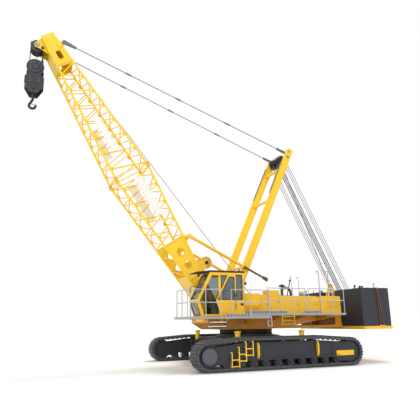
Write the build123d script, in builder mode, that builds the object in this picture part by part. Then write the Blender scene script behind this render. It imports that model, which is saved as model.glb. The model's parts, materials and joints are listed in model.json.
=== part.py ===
from build123d import *
from math import acos, atan2, cos, degrees, radians, sin
import os

# Lattice-boom crawler crane, in millimetres. +X forward, +Y to the machine's left, +Z up.
# The origin lies on the ground, under the middle of the whole machine.

# ---------------------------------------------------------------- running fits
SEAT = 0.3            # play left where one piece rests on another
BEARING_GAP = 0.3     # between the two races of the slew bearing
PIN_PLAY = 0.08       # radial play of a pin in its eye
SIDE_PLAY = 6         # between a swinging eye and the ears beside it

# ---------------------------------------------------------------- crawlers
WHEEL_BASE = 6960     # drive wheel axle to idler axle
GAUGE = 6930          # between the two crawlers' middles
SHOE_WIDTH = 790
SHOE_COUNT = 66
PAD_HEIGHT = 45       # raised pad of a shoe above the chain
CHAIN_DEPTH = 95      # shoe plate and chain link under the pad
LUG_HEIGHT = 55       # drive lug on the inside of the chain
LUG_LENGTH = 110
LUG_WIDTH = 90
LUG_ROOT = 10         # the lug is let into the chain by this
END_RADIUS = 620      # axle to ground at both ends
CREST_HEIGHT = 1350   # pad height of the raised upper run
CREST_HALF = 1950     # half length of the level part of the upper run

FRAME_WIDTH = 600     # crawler side frame
SIDE_PLATE = 40
GIRDER_PLAY = 40      # girder's ends stop short of the wheels
GIRDER_LOW = 470
GIRDER_HIGH = 960
PLATE_HIGH = 1130
NOSE_FRONT = 330
NOSE_REAR = 410
SCALLOP_TOP = 400      # height of the notches between the rollers
SCALLOP_WIDTH = 360
SCALLOP_ANGLE = 100
ROLLER_COUNT = 10
ROLLER_PITCH = 600
ROLLER_RADIUS = 150
CARRIER_RADIUS = 110
CARRIERS = (-1600, 0, 1600)
HUB_CAP_RADIUS = 350
HUB_CAP_DEPTH = 70
LUG_PLATES = (1290, -1670)
STEP_WIDTH = 330
STEP_TUBE = 22
STEP_REACH = 160
STEPS = ((2380, 190), (2060, 400), (1740, 610))      # x, foot height of each step frame
STEP_HEIGHT = 560
LUG_PLATE_LOW = 480
LUG_PLATE_HIGH = 1110
LUG_PLATE_THICK = 60
LUG_PLATE_REACH = 130
LUG_PLATE_TOE = 50       # thickness of a lug plate at its top and foot
LUG_PLATE_CUT = 120      # height of its sloping ends
LUG_EYE_OUT = 75
LUG_EYE_DROP = 150
LUG_EYE_RADIUS = 32

# ---------------------------------------------------------------- car body and slew bearing
BODY_HALF = 1300
BODY_LOW = 680
BODY_HIGH = 1330
BODY_CORNER = 320
BODY_BORE = 648
BEAM_X = 1560
BEAM_WIDTH = 620
RING_RADIUS = 1330
RING_BORE = 1080
SEAT_FLANGE = 70
SEAT_RIM = 40         # the flange stands out past the bearing
GEAR_INSET = 45       # the geared ring is smaller than the bearing above it
RING_LOW = 110
RING_HIGH = 130
BEAM_LOW = 620
BEAM_HIGH = 1090
BEAM_DROP = 60
BEAM_LEVEL_Y = 2350   # outboard of this the cross beam's top is level
JACK_X = 1660
JACK_Y = 2600
JACK_RADIUS = 120
JACK_TOP = 1570
JACK_COLLAR = 30

# ---------------------------------------------------------------- upper works
FRAME_HALF = 1150     # half width of the revolving frame
FRAME_PLATE = 50
FRAME_TOP = 2300
FRAME_FRONT = 2500
FRAME_REAR = 5080
TAIL_HALF = 640       # half width of the tail between the counterweight stacks
REAR_REACH = 6880     # slew axis to the counterweight's back face

FRAME_NOSE_LOW = 1950
FRAME_CHIN = 2000     # where the frame's floor starts to rise to the nose
OPENING_FRONT = 2100  # triangular opening in the tail's side plates
OPENING_REAR = 4700
OPENING_DROP = 120
CHORD_PLATE = 130
EAR_PLATE = 60
EAR_FLARE = 120       # the ears' feet spread fore and aft
STOP_HALF = 60
MAST_PIN_RADIUS = 55
BOOM_EAR_Y = 750      # middle of a boom foot between its two ears
MAST_EYE_RADIUS = 150
MAST_EYE_WIDTH = 120
DRUM_EAR_Y = 640
DRUM_EAR_HALF = 170
DRUM_SHAFT_RADIUS = 70
STOP_SEAT = (-1180, 2840)    # pin that the boom backstops meet at the steepest boom
STOP_Y = 1230
STOP_PIN_RADIUS = 45
TRAY_LOW = 1545
TRAY_HIGH = 1670
STACK_TOP = 3575
STACK_FRONT = 5110
STACK_HALF = 2900
STACK_GAP_HALF = 720
STACK_CORNER = 130
LIFT_EYE_WIDTH = 240
LIFT_EYE_THICK = 60
LIFT_EYE_HEIGHT = 180
LIFT_EYE_BORE = 45
DECK_BRACKETS = (1900, 500, -900, -2200, -3600)
BRACKET_DROP = 260
DECK_THICK = 60
DECK_FRONT_TOP = 2180
DECK_REAR_TOP = 2310
DECK_STEP_X = 120     # the deck is lower forward of this
DECK_FRONT_X = 4150
DECK_REAR_X = 4300

# House panels on the left, front to rear: name, front x, rear x, outer wall y, top height
LEFT_PANELS = (
    ("hood", 950, 120, 1950, 3280),
    ("niche", 120, -350, 1860, 3200),
    ("locker", -350, -930, 1950, 3440),
    ("tank", -930, -3060, 1950, 3180),
    ("seam", -3060, -3310, 1860, 3120),
    ("rear", -3310, -4500, 1950, 3180),
)
RIGHT_PANELS = (
    ("nose", 2100, 1250, 1950, 2950),
    ("locker", 1250, 120, 1950, 3280),
    ("radiator", 120, -800, 1950, 3400),
    ("engine", -800, -3060, 1950, 3300),
    ("rear", -3060, -4500, 1950, 3180),
)
PANEL_INNER_Y = 1340
PANEL_SHEET = 25
ENGINE_X = (-2500, -900)
ENGINE_WIDTH = 560
ENGINE_TOP = 3100

# Cab
CAB_REAR = 1200
CAB_TOP_FRONT = 2880
CAB_KNEE = (3520, 2920)
CAB_TOE_X = 3290
CAB_FLOOR = 2200
CAB_ROOF = 4180
CAB_INNER_Y = 1400
CAB_OUTER_Y = 2450
CAB_WALL = 45
CAB_POST = 95
SILL_Z = 2960
GLASS_INSET = 15
GLASS_THICK = 10
# Door outline closed, and how far back it stands open
DOOR_REAR_X = 2440
DOOR_TOP = (2820, 4060)
DOOR_KNEE = (3420, 2920)
DOOR_TOE = (3210, 2300)
DOOR_PLAY = 8
DOOR_THICK = 40
DOOR_TRAVEL = 800
DOOR_RAIL = 45
ROOF_THICK = 90
ROOF_OVERHANG = 40
VISOR_REACH = 640
VISOR_EDGE = (10, -20)       # top and underside of the visor's front edge, above the cab
DOOR_POST = 70
DOOR_SLOPE_INSET = 20     # extra width of the door's post under its sloping edge
CAB_FOOT = 120
SEAT_X = 2250
SEAT_HALF = 260
SEAT_BASE = (-80, 330, 180, 440)      # rear, front, half width and top of the seat's stand
SEAT_ROUND = 40
# Side outline of the seat: forward of its middle, above the cab floor
SEAT_PROFILE = ((-150, 440), (-260, 1150), (-140, 1160), (-20, 560), (420, 590), (440, 440))
CONSOLE_PROFILE = ((-60, 0), (-60, 640), (480, 700), (560, 0))
CONSOLE_PLAY = 20             # between the seat and the console beside it
CONSOLE_WIDTH = 130

DECK_OUTER = 2600
CAB_DECK_OUTER = 2950
RAIL_RADIUS = 20
RAIL_HEIGHT = 1200
RAIL_MIDDLE = 640
CAB_RAIL_GAP = (2560, 2060)      # the gaps in the rails, front and rear
HOUSE_RAIL_GAP = (-2000, -2200)

# Winches between the house sides
DRUM_RADIUS = 230
FLANGE_RADIUS = 390
FLANGE_THICK = 40
DRUM_SPAN = 1150
DRUMS = (("drum_hoist", -700), ("drum_luff", -2600))
DRUM_Z = 2760

# ---------------------------------------------------------------- boom
BOOM_FOOT = (1850, 2430)     # x from the slew axis, height
BOOM_ANGLE = 57
BASE_LENGTH = 8000
BOOM_LENGTH = 16000
FOOT_DEPTH = 330
JOINT_DEPTH = 1800
HEAD_DEPTH = 560
BOOM_WIDTH = 1500
HEAD_WIDTH = 1000
CHORD_RADIUS = 55
LACING_RADIUS = 28
TUBE_SIDES = 8
BOX_TOP = 4100        # top of the plated foot
HEAD_LENGTH = 1750    # plated head at the boom's upper end
HEAD_BOX = BOOM_LENGTH - HEAD_LENGTH
HEAD_SLOT = (560, 220, 260)  # slot in the head's side plates: from its start, between its ends, height
HEAD_UNDER_END = 750         # the head's underside plate ends this far from the tip
BOOM_PLATE = 30
FOOT_PIN_RADIUS = 60
FOOT_EYE_RADIUS = 120
FOOT_EYE_WIDTH = 110
HEAD_SHEAVE_S = BOOM_LENGTH - 250
HEAD_SHEAVE_T = -650
HEAD_SHEAVE_RADIUS = 310
SHEAVE_GROOVE = 30           # depth of the rope's groove
SHEAVE_ROPE_RADIUS = HEAD_SHEAVE_RADIUS - SHEAVE_GROOVE
SHEAVE_WIDTH = 60
STAY_PIN = (BOOM_LENGTH - 700, 480)      # along the boom, behind its middle line
STAY_Y = 640                 # pendant's middle beside the boom head
STAY_EAR = (90, 200, 150)    # radius of the pendant's ear, half its foot, height of its foot
LACING_CLEAR = 30            # lacing ends stop short of the chord's middle
LACING_TOE = 0.04            # share of its reach by which a tube stops short of the next one's foot
BASE_BAYS = 4
UNDER_BAYS = 6
TOP_BAYS = 7
UNDER_PLATE = (700, 2300)    # plated part of the boom's underside at the foot
BACK_PLATE = (3350, 4100)    # plated part of its back, under the backstop shaft
BOX_HOLES = ((3450, 200), (2750, 180))     # distance from the foot, radius
HOLE_RIM = 35
STOP_SHAFT = (3900, 620)     # shaft that carries the backstops
STOP_SHAFT_RADIUS = 60
STOP_BRACKET = (220, 80)     # reach of the shaft's bracket towards the foot, half its top
AUX_DRUM = (2290, 1000)      # auxiliary winch behind the boom foot
AUX_FLANGE_RADIUS = 310
AUX_DRUM_RADIUS = 180
AUX_SPAN = 760
AUX_PLATE = 40
AUX_BEAMS = (-350, 450)      # cross tubes of the winch's bearer, from its shaft
AUX_FOOT = (-420, 520)       # ends of its side plates
AUX_PLATE_HALF = 130
AUX_PLATE_ROOT = 60          # the plates reach this deep into the cross tubes
AUX_SHAFT_REACH = 110
JOINT_BLOCK = 130            # thick chord ends where the two sections are pinned together
JOINT_RADIUS = 85
CHORD_START = 500            # the chords begin beyond the foot's web
WEB_END = 750                # the thick web of the foot's eye ends here
STOP_EYE_WIDTH = 120
NEST_HALF = 330              # half width between the cheeks of the main sheave nest
CHEEK_PLATE = 40
CHEEK_ROOT = (-800, -700)    # the sheave nest's cheeks begin here, along the boom from the axle
CHEEK_ROOT_DROP = 60
CHEEK_HALF = 130
CHEEK_END_RADIUS = 150
HEAD_AXLE_RADIUS = 70
SHEAVE_LANES = (-225, -75, 75, 225)
SHEAVE_HUB = 40              # thickness of the hub tube that joins a row of sheaves
GROOVE_WIDTH = 34
ROPE_RADIUS = 13
MAST_FOOT = (1330, 2500)     # mast: x from the slew axis, height
MAST_ANGLE = 114
MAST_LENGTH = 9700
MAST_LEG_Y = 1010
MAST_LEG_WIDTH = 190
MAST_LEG_DEPTH = 360
MAST_SHEAVE_S = MAST_LENGTH - 550
MAST_SHEAVE_RADIUS = 280
MAST_SHEAVE_LANES = (-480, -320, -160, 160, 320, 480)
MAST_AXLE_RADIUS = 60
MAST_TUBES = ((2400, 70), (6400, 70), (8500, 90))     # distance from the foot, radius
MAST_SHOULDER = 620          # the legs reach full depth here
STAY_MAST_PIN = (MAST_LENGTH - 220, -60)     # along the mast, in front of its middle line
STAY_MAST_Y = 800
STAY_ROPE_RADIUS = 22
STAY_LINK = 620              # flat links at both ends of a pendant
STAY_LINK_DEPTH = 110
STAY_COUPLINGS = (0.27, 0.52, 0.76)      # joints of the pendant's ropes, as shares of its length
STAY_SLACK = (-23, 12)       # loose end eye's middle off its pin, along and across the pendant
STAY_LOOSE = 30              # and its bore's extra radius
STOP_TUBE = 3250             # backstop: thick tube, then the rod
STOP_TUBE_RADIUS = 75
STOP_ROD_RADIUS = 45
STOP_REACH = 4648            # shaft to the rod's end
STOP_ANGLE = 205.9           # direction from the shaft to the rod's end
BLOCK_DROP = 1200            # head axle to the block's axle
BLOCK_SHEAVE_RADIUS = HEAD_SHEAVE_RADIUS
BLOCK_LOBE_RADIUS = 405
BLOCK_CHEEK = 290            # inner face of a cheek
BLOCK_CHEEK_THICK = 60
BLOCK_AXLE_RADIUS = 60
BLOCK_LOWER = ((300, -430), (440, -540), (440, -900), (180, -1330))    # half outline below the waist
CROSSHEAD = (340, 260, 100)  # length, height and how far its middle lies below the cheeks' corner
SWIVEL_RADIUS = 130
SWIVEL_HEIGHT = 90
SHANK_RADIUS = 65
BOWL_RADIUS = 145            # middle of the hook's bowl
BOWL_DROP = 1900             # block's axle to the bowl's middle
BOWL_ARC = (40, -60, -160)   # directions of the bowl's start, lowest part and end
NECK_RISE = 319              # the shank begins this high above the bowl's middle
HOOK_BODY_RADIUS = 62
HOOK_TIP_RADIUS = 28
HOOK_TIP_LENGTH = 130
STAY_EYE_WIDTH = 70
STAY_PIN_RADIUS = 35

boom_cos, boom_sin = cos(radians(BOOM_ANGLE)), sin(radians(BOOM_ANGLE))
FRONT_REACH = BOOM_FOOT[0] + HEAD_SHEAVE_S * boom_cos - HEAD_SHEAVE_T * boom_sin + BLOCK_LOWER[1][0]
SLEW_X = (REAR_REACH - FRONT_REACH) / 2


def side(y):
    """Upright plane along the machine; local x runs forward of the slew axis, local y up."""
    return Plane((SLEW_X, y, 0), x_dir=(1, 0, 0), z_dir=(0, -1, 0))


def level(z):
    """Level plane at a height, centred on the slew axis."""
    return Plane((SLEW_X, 0, z))


def across(x):
    """Upright plane across the machine; local x runs to the left, local y up."""
    return Plane((SLEW_X + x, 0, 0), x_dir=(0, 1, 0), z_dir=(1, 0, 0))


def boom_side(y):
    """Plane of the boom's side; local x runs up the boom from its foot, local y to its back."""
    return Plane((SLEW_X + BOOM_FOOT[0], y, BOOM_FOOT[1]), x_dir=(boom_cos, 0, boom_sin), z_dir=(0, -1, 0))


def slab(x, y, z, mode=Mode.ADD):
    """Box between two lengths forward of the slew axis, two widths and two heights."""
    with Locations((SLEW_X + sum(x) / 2, sum(y) / 2, sum(z) / 2)):
        return Box(x[1] - x[0], y[1] - y[0], z[1] - z[0], mode=mode)


def cross_pin(x, z, radius, y, mode=Mode.ADD):
    """Cylinder across the machine, from one width to the other."""
    with Locations(side(sum(y) / 2) * Location((x, z, 0))):
        return Cylinder(radius, y[1] - y[0], mode=mode)


def tube_run(points, radius):
    """One mitred tube through points given as (forward of the slew axis, left, up)."""
    path = Polyline(*[(SLEW_X + x, y, z) for x, y, z in points])
    section = Plane(path @ 0, z_dir=path % 0) * RegularPolygon(radius, TUBE_SIDES)
    return sweep(section, path=path, transition=Transition.RIGHT)


# ================================================================ crawlers
# One closed chain of shoes: the pads stand out of the chain, and each shoe carries a drive lug inside.
chain_radius = END_RADIUS - PAD_HEIGHT
axle_x = WHEEL_BASE / 2
crest_z = CREST_HEIGHT - PAD_HEIGHT
to_crest = Vector(CREST_HALF - axle_x, crest_z - END_RADIUS)
wrap = degrees(atan2(to_crest.Y, to_crest.X) - acos(chain_radius / to_crest.length))
chain_inner_radius = chain_radius - CHAIN_DEPTH
wheel_radius = chain_inner_radius - SEAT

with BuildLine() as chain_line:
    bottom_run = Line((-axle_x, PAD_HEIGHT), (axle_x, PAD_HEIGHT))
    front_wrap = CenterArc((axle_x, END_RADIUS), chain_radius, -90, 90 + wrap)
    front_slope = Line(front_wrap @ 1, (CREST_HALF, crest_z))
    top_run = Line((CREST_HALF, crest_z), (-CREST_HALF, crest_z))
    rear_wrap = CenterArc((-axle_x, END_RADIUS), chain_radius, 180 - wrap, 90 + wrap)
    rear_slope = Line((-CREST_HALF, crest_z), rear_wrap @ 0)
chain_wire = chain_line.wire()
shoe_pitch = chain_wire.length / SHOE_COUNT


def shoe_points(profile):
    """Points of one profile repeated at every shoe; the profile lists (along, outward)."""
    points = []
    for shoe in range(SHOE_COUNT):
        at = (shoe + 0.5) / SHOE_COUNT
        middle, along = chain_wire @ at, chain_wire % at
        outward = Vector(along.Y, -along.X)
        points.append([middle + along * forward + outward * out for forward, out in profile])
    return points


# Share of the shoe pitch along the chain, height above the chain
PAD_PROFILE = ((-0.44, 0), (-0.38, PAD_HEIGHT), (0.38, PAD_HEIGHT), (0.44, 0))
# Length along the chain, height above it
LUG_PROFILE = ((-LUG_LENGTH / 2, LUG_ROOT - CHAIN_DEPTH), (LUG_LENGTH / 2, LUG_ROOT - CHAIN_DEPTH),
               (LUG_LENGTH / 3, -CHAIN_DEPTH - LUG_HEIGHT), (-LUG_LENGTH / 3, -CHAIN_DEPTH - LUG_HEIGHT))

for hand, track_y in (("l", GAUGE / 2), ("r", -GAUGE / 2)):
    outward_sign = 1 if track_y > 0 else -1

    with BuildPart() as track:
        with BuildSketch(side(track_y)):
            with BuildLine():
                pads = shoe_points([(share * shoe_pitch, out) for share, out in PAD_PROFILE])
                Polyline(*[(point.X, max(point.Y, 0)) for pad in pads for point in pad], close=True)
            make_face()
            with BuildLine():
                offset(chain_line.line, amount=-CHAIN_DEPTH)
            make_face(mode=Mode.SUBTRACT)
        extrude(amount=SHOE_WIDTH / 2, both=True)
        with BuildSketch(side(track_y)):
            for lug in shoe_points(LUG_PROFILE):
                Polygon(*[(point.X, point.Y) for point in lug], align=None)
        extrude(amount=LUG_WIDTH / 2, both=True)
    track.part.label = f"track_{hand}"
    export_step(track.part, f"parts/track_{hand}.step")

    # Side frame: a box girder between two deep plates that carry every axle.
    roller_z = PAD_HEIGHT + CHAIN_DEPTH + SEAT + ROLLER_RADIUS
    carrier_z = crest_z - CHAIN_DEPTH - SEAT - CARRIER_RADIUS
    rollers = [(index - (ROLLER_COUNT - 1) / 2) * ROLLER_PITCH for index in range(ROLLER_COUNT)]
    girder_end = axle_x - chain_inner_radius - GIRDER_PLAY
    with BuildPart() as track_frame:
        for plate_y in (track_y + FRAME_WIDTH / 2, track_y - FRAME_WIDTH / 2 + SIDE_PLATE):
            with BuildSketch(side(plate_y)):
                with Locations((axle_x, END_RADIUS)):
                    Circle(NOSE_FRONT)
                with Locations((-axle_x, END_RADIUS)):
                    Circle(NOSE_REAR)
                Polygon((axle_x, END_RADIUS + NOSE_FRONT), (CREST_HALF, PLATE_HIGH), (-CREST_HALF, PLATE_HIGH),
                        (-axle_x, END_RADIUS + NOSE_REAR), (-axle_x, END_RADIUS - NOSE_REAR),
                        (axle_x, END_RADIUS - NOSE_FRONT), align=None)
                for front, rear in zip(rollers[1:], rollers[:-1]):
                    with Locations(((front + rear) / 2, SCALLOP_TOP)):
                        Trapezoid(SCALLOP_WIDTH, SCALLOP_TOP, SCALLOP_ANGLE, align=(Align.CENTER, Align.MAX),
                                  mode=Mode.SUBTRACT)
            extrude(amount=SIDE_PLATE)
        girder_half = FRAME_WIDTH / 2 - SIDE_PLATE
        slab((-girder_end, girder_end), (track_y - girder_half, track_y + girder_half), (GIRDER_LOW, GIRDER_HIGH))
    track_frame.part.label = f"track_frame_{hand}"
    export_step(track_frame.part, f"parts/track_frame_{hand}.step")

    # Drive wheel in front and idler behind, both grooved for the drive lugs.
    inner_y = track_y - FRAME_WIDTH / 2 + SIDE_PLATE
    outer_y = track_y + FRAME_WIDTH / 2 - SIDE_PLATE
    wheel_span = outer_y - inner_y - 2 * SEAT
    groove = LUG_WIDTH + 2 * SIDE_PLAY
    for wheel_name, wheel_x in (("drive_wheel", axle_x), ("idler", -axle_x)):
        with BuildPart() as wheel:
            cross_pin(wheel_x, END_RADIUS, wheel_radius, (track_y - wheel_span / 2, track_y + wheel_span / 2))
            with Locations(side(track_y) * Location((wheel_x, END_RADIUS, 0))):
                Cylinder(wheel_radius, groove, mode=Mode.SUBTRACT)
                Cylinder(wheel_radius - LUG_HEIGHT - SIDE_PLAY, groove)
            if wheel_name == "drive_wheel":
                outer_face = track_y + outward_sign * FRAME_WIDTH / 2
                cap_span = sorted((outer_face + outward_sign * SEAT, outer_face + outward_sign * HUB_CAP_DEPTH))
                cross_pin(wheel_x, END_RADIUS, HUB_CAP_RADIUS, cap_span)
        wheel.part.label = f"{wheel_name}_{hand}"
        export_step(wheel.part, f"parts/{wheel_name}_{hand}.step")

    # Bottom rollers and carrier rollers: each a double-flanged spool between the side plates.
    spools = [(x, roller_z, ROLLER_RADIUS) for x in rollers] + [(x, carrier_z, CARRIER_RADIUS) for x in CARRIERS]
    with BuildPart() as track_rollers:
        for x, z, radius in spools:
            cross_pin(x, z, radius, (track_y - wheel_span / 2, track_y + wheel_span / 2))
            cross_pin(x, z, radius, (track_y - groove / 2, track_y + groove / 2), mode=Mode.SUBTRACT)
            cross_pin(x, z, radius - LUG_HEIGHT - SIDE_PLAY, (track_y - groove / 2, track_y + groove / 2))
    track_rollers.part.label = f"rollers_{hand}"
    export_step(track_rollers.part, f"parts/rollers_{hand}.step")

    # Three stirrup steps climb the outer face; two lifting lugs stand beside them.
    outer_face = track_y + outward_sign * FRAME_WIDTH / 2
    seat_y = outer_face + outward_sign * SEAT
    reach_y = outer_face + outward_sign * STEP_REACH
    tubes = []
    for step_x, foot_z in STEPS:
        near_x, far_x = step_x - STEP_WIDTH / 2, step_x + STEP_WIDTH / 2
        top_z, middle_z = foot_z + STEP_HEIGHT, foot_z + STEP_HEIGHT / 2
        tubes += [tube_run([(x, seat_y, top_z), (x, reach_y, top_z), (x, reach_y, foot_z), (x, seat_y, foot_z)],
                           STEP_TUBE) for x in (near_x, far_x)]
        tubes += [tube_run([(near_x, reach_y, z), (far_x, reach_y, z)], STEP_TUBE)
                  for z in (foot_z + STEP_TUBE, middle_z)]
    with BuildPart() as steps:
        add(tubes)
    steps.part.label = f"steps_{hand}"
    export_step(steps.part, f"parts/steps_{hand}.step")

# Lifting lugs on the outer faces of both side frames: tall plates with an eye.
with BuildPart() as frame_lugs:
    for lug_side in (1, -1):
        outer_face = lug_side * (GAUGE + FRAME_WIDTH) / 2
        for lug_x in LUG_PLATES:
            with BuildSketch(across(lug_x - LUG_PLATE_THICK / 2)):
                with BuildLine():
                    root_y, toe_y = outer_face + lug_side * SEAT, outer_face + lug_side * LUG_PLATE_TOE
                    nose_y = outer_face + lug_side * LUG_PLATE_REACH
                    Polyline((root_y, LUG_PLATE_LOW), (root_y, LUG_PLATE_HIGH), (toe_y, LUG_PLATE_HIGH),
                             (nose_y, LUG_PLATE_HIGH - LUG_PLATE_CUT), (nose_y, LUG_PLATE_LOW + LUG_PLATE_CUT),
                             (toe_y, LUG_PLATE_LOW), close=True)
                make_face()
                with Locations((outer_face + lug_side * LUG_EYE_OUT, LUG_PLATE_HIGH - LUG_EYE_DROP)):
                    Circle(LUG_EYE_RADIUS, mode=Mode.SUBTRACT)
            extrude(amount=LUG_PLATE_THICK)
frame_lugs.part.label = "frame_lugs"
export_step(frame_lugs.part, "parts/frame_lugs.step")

# ================================================================ car body
with BuildPart() as car_body:
    slab((-BODY_HALF, BODY_HALF), (-BODY_HALF, BODY_HALF), (BODY_LOW, BODY_HIGH))
    chamfer(car_body.edges().filter_by(Axis.Z), BODY_CORNER)
    with Locations(level(BODY_HIGH)):
        Cylinder(RING_RADIUS + SEAT_RIM, SEAT_FLANGE, align=(Align.CENTER, Align.CENTER, Align.MIN))
    beam_end = (GAUGE - FRAME_WIDTH) / 2 - SEAT
    for beam_x in (BEAM_X, -BEAM_X):
        with BuildSketch(across(beam_x - BEAM_WIDTH / 2)):
            Polygon((-beam_end, BEAM_LOW), (-beam_end, BEAM_HIGH), (-BEAM_LEVEL_Y, BEAM_HIGH),
                    (-BODY_HALF, BODY_HIGH - BEAM_DROP), (BODY_HALF, BODY_HIGH - BEAM_DROP), (BEAM_LEVEL_Y, BEAM_HIGH),
                    (beam_end, BEAM_HIGH), (beam_end, BEAM_LOW), (BODY_HALF, BEAM_LOW - BEAM_DROP),
                    (-BODY_HALF, BEAM_LOW - BEAM_DROP), align=None)
        extrude(amount=BEAM_WIDTH)
    with Locations(level(BODY_LOW)):
        Cylinder(BODY_BORE, BODY_HIGH, align=(Align.CENTER, Align.CENTER, Align.MIN), mode=Mode.SUBTRACT)
car_body.part.label = "car_body"
export_step(car_body.part, "parts/car_body.step")

ring_seat = BODY_HIGH + SEAT_FLANGE
with BuildPart() as ring_gear:
    with BuildSketch(level(ring_seat)):
        Circle(RING_RADIUS - GEAR_INSET)
        Circle(RING_BORE, mode=Mode.SUBTRACT)
    extrude(amount=RING_LOW)
ring_gear.part.label = "ring_gear"
export_step(ring_gear.part, "parts/ring_gear.step")

with BuildPart() as jacks:
    for jack_x in (JACK_X, -JACK_X):
        for jack_y in (JACK_Y, -JACK_Y):
            with BuildSketch(level(BEAM_HIGH + SEAT)):
                with Locations((jack_x, jack_y)):
                    Circle(JACK_RADIUS)
            extrude(amount=JACK_TOP - BEAM_HIGH)
            with BuildSketch(level(JACK_TOP)):
                with Locations((jack_x, jack_y)):
                    Circle(JACK_RADIUS + JACK_COLLAR)
            extrude(amount=-JACK_COLLAR * 2)
jacks.part.label = "jacks"
export_step(jacks.part, "parts/jacks.step")

# ================================================================ upper works: revolving frame
bearing_z = ring_seat + RING_LOW + BEARING_GAP
frame_low = bearing_z + RING_HIGH
with BuildPart() as slew_bearing:
    with BuildSketch(level(bearing_z)):
        Circle(RING_RADIUS)
        Circle(RING_BORE, mode=Mode.SUBTRACT)
    extrude(amount=RING_HIGH)
slew_bearing.part.label = "slew_bearing"
export_step(slew_bearing.part, "parts/slew_bearing.step")


def stand_plate(x, z, half, y, thick, bore=0):
    """Upright plate on the frame's deck, flared at its foot and round about an axle at its top."""
    outline = Pos(x, z) * Circle(half) + Polygon((x - half - EAR_FLARE, FRAME_TOP), (x + half + EAR_FLARE, FRAME_TOP),
                                                 (x + half, z), (x - half, z), align=None)
    if bore:
        outline -= Pos(x, z) * Circle(bore)
    return extrude(side(y + thick / 2) * outline, amount=thick)


# Feet with their pins: middle, width of the eye's middle, play to each ear, radius of the ears, radius of the pin
FEET = ((BOOM_FOOT, BOOM_EAR_Y, FOOT_EYE_WIDTH / 2 + SIDE_PLAY, FOOT_EYE_RADIUS, FOOT_PIN_RADIUS),
        (MAST_FOOT, MAST_LEG_Y, MAST_EYE_WIDTH / 2 + SIDE_PLAY, MAST_EYE_RADIUS, MAST_PIN_RADIUS))
stands = [stand_plate(*foot, eye_radius, hand_sign * (middle_y + ear_sign * (gap + EAR_PLATE / 2)), EAR_PLATE)
          for foot, middle_y, gap, eye_radius, _ in FEET for hand_sign in (1, -1) for ear_sign in (1, -1)]
stands += [stand_plate(drum_x, DRUM_Z, DRUM_EAR_HALF, hand_sign * DRUM_EAR_Y, EAR_PLATE, DRUM_SHAFT_RADIUS + PIN_PLAY)
           for _, drum_x in DRUMS for hand_sign in (1, -1)]

with BuildPart() as main_frame:
    # Two side plates with the long triangular opening in the tail, joined by deck and floor plates.
    for plate_y in (FRAME_HALF, -FRAME_HALF + FRAME_PLATE):
        with BuildSketch(side(plate_y)):
            Polygon((FRAME_FRONT, FRAME_TOP), (FRAME_FRONT, FRAME_NOSE_LOW), (FRAME_CHIN, frame_low),
                    (-FRAME_REAR, frame_low), (-FRAME_REAR, FRAME_TOP), align=None)
            Polygon((-OPENING_FRONT, frame_low + CHORD_PLATE), (-OPENING_REAR, FRAME_TOP - OPENING_DROP),
                    (-OPENING_REAR, frame_low + CHORD_PLATE), align=None, mode=Mode.SUBTRACT)
        extrude(amount=FRAME_PLATE)
    slab((-FRAME_REAR, FRAME_FRONT), (-FRAME_HALF, FRAME_HALF), (FRAME_TOP - FRAME_PLATE, FRAME_TOP))
    slab((-FRAME_REAR, FRAME_CHIN), (-FRAME_HALF, FRAME_HALF), (frame_low, frame_low + FRAME_PLATE))
    slab((FRAME_FRONT - FRAME_PLATE, FRAME_FRONT), (-FRAME_HALF, FRAME_HALF), (FRAME_NOSE_LOW, FRAME_TOP))
    slab((-FRAME_REAR, FRAME_PLATE - FRAME_REAR), (-FRAME_HALF, FRAME_HALF), (frame_low, FRAME_TOP))
    with BuildSketch(side(FRAME_HALF)):
        Polygon((FRAME_FRONT, FRAME_NOSE_LOW), (FRAME_CHIN, frame_low), (FRAME_CHIN, frame_low + FRAME_PLATE),
                (FRAME_FRONT, FRAME_NOSE_LOW + FRAME_PLATE), align=None)
    extrude(amount=2 * FRAME_HALF)
    # Tail between the counterweight stacks
    slab((-REAR_REACH, -FRAME_REAR), (-TAIL_HALF, TAIL_HALF), (TRAY_HIGH + SEAT, FRAME_TOP))
    # Ears and drum stands on the deck plate, with the pins of both feet
    add(stands)
    for (foot_x, foot_z), middle_y, gap, _, pin_radius in FEET:
        for hand_sign in (1, -1):
            pin_ends = sorted((hand_sign * (middle_y - gap), hand_sign * (middle_y + gap)))
            cross_pin(foot_x, foot_z, pin_radius, pin_ends)
    # Seats that the boom backstops meet
    for hand_sign in (1, -1):
        stop_x, stop_z = STOP_SEAT
        near_y, far_y = hand_sign * FRAME_HALF, hand_sign * (STOP_Y + STOP_HALF)
        slab((stop_x - STOP_HALF, stop_x + STOP_HALF), sorted((hand_sign * (FRAME_HALF - EAR_PLATE), near_y)),
             (FRAME_TOP, stop_z + STOP_HALF))
        cross_pin(stop_x, stop_z, STOP_PIN_RADIUS, sorted((near_y, far_y)))
main_frame.part.label = "main_frame"
export_step(main_frame.part, "parts/main_frame.step")

# ================================================================ winch drums
for drum_name, drum_x in DRUMS:
    with BuildPart() as drum:
        cross_pin(drum_x, DRUM_Z, DRUM_RADIUS, (-DRUM_SPAN / 2, DRUM_SPAN / 2))
        for hand_sign in (1, -1):
            flange = sorted((hand_sign * (DRUM_SPAN / 2 - FLANGE_THICK), hand_sign * DRUM_SPAN / 2))
            cross_pin(drum_x, DRUM_Z, FLANGE_RADIUS, flange)
        cross_pin(drum_x, DRUM_Z, DRUM_SHAFT_RADIUS, (-DRUM_EAR_Y - EAR_PLATE, DRUM_EAR_Y + EAR_PLATE))
    drum.part.label = drum_name
    export_step(drum.part, f"parts/{drum_name}.step")

# ================================================================ counterweight
with BuildPart() as tray:
    slab((-REAR_REACH, -STACK_FRONT), (-STACK_HALF, STACK_HALF), (TRAY_LOW, TRAY_HIGH))
tray.part.label = "counterweight_tray"
export_step(tray.part, "parts/counterweight_tray.step")

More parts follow.
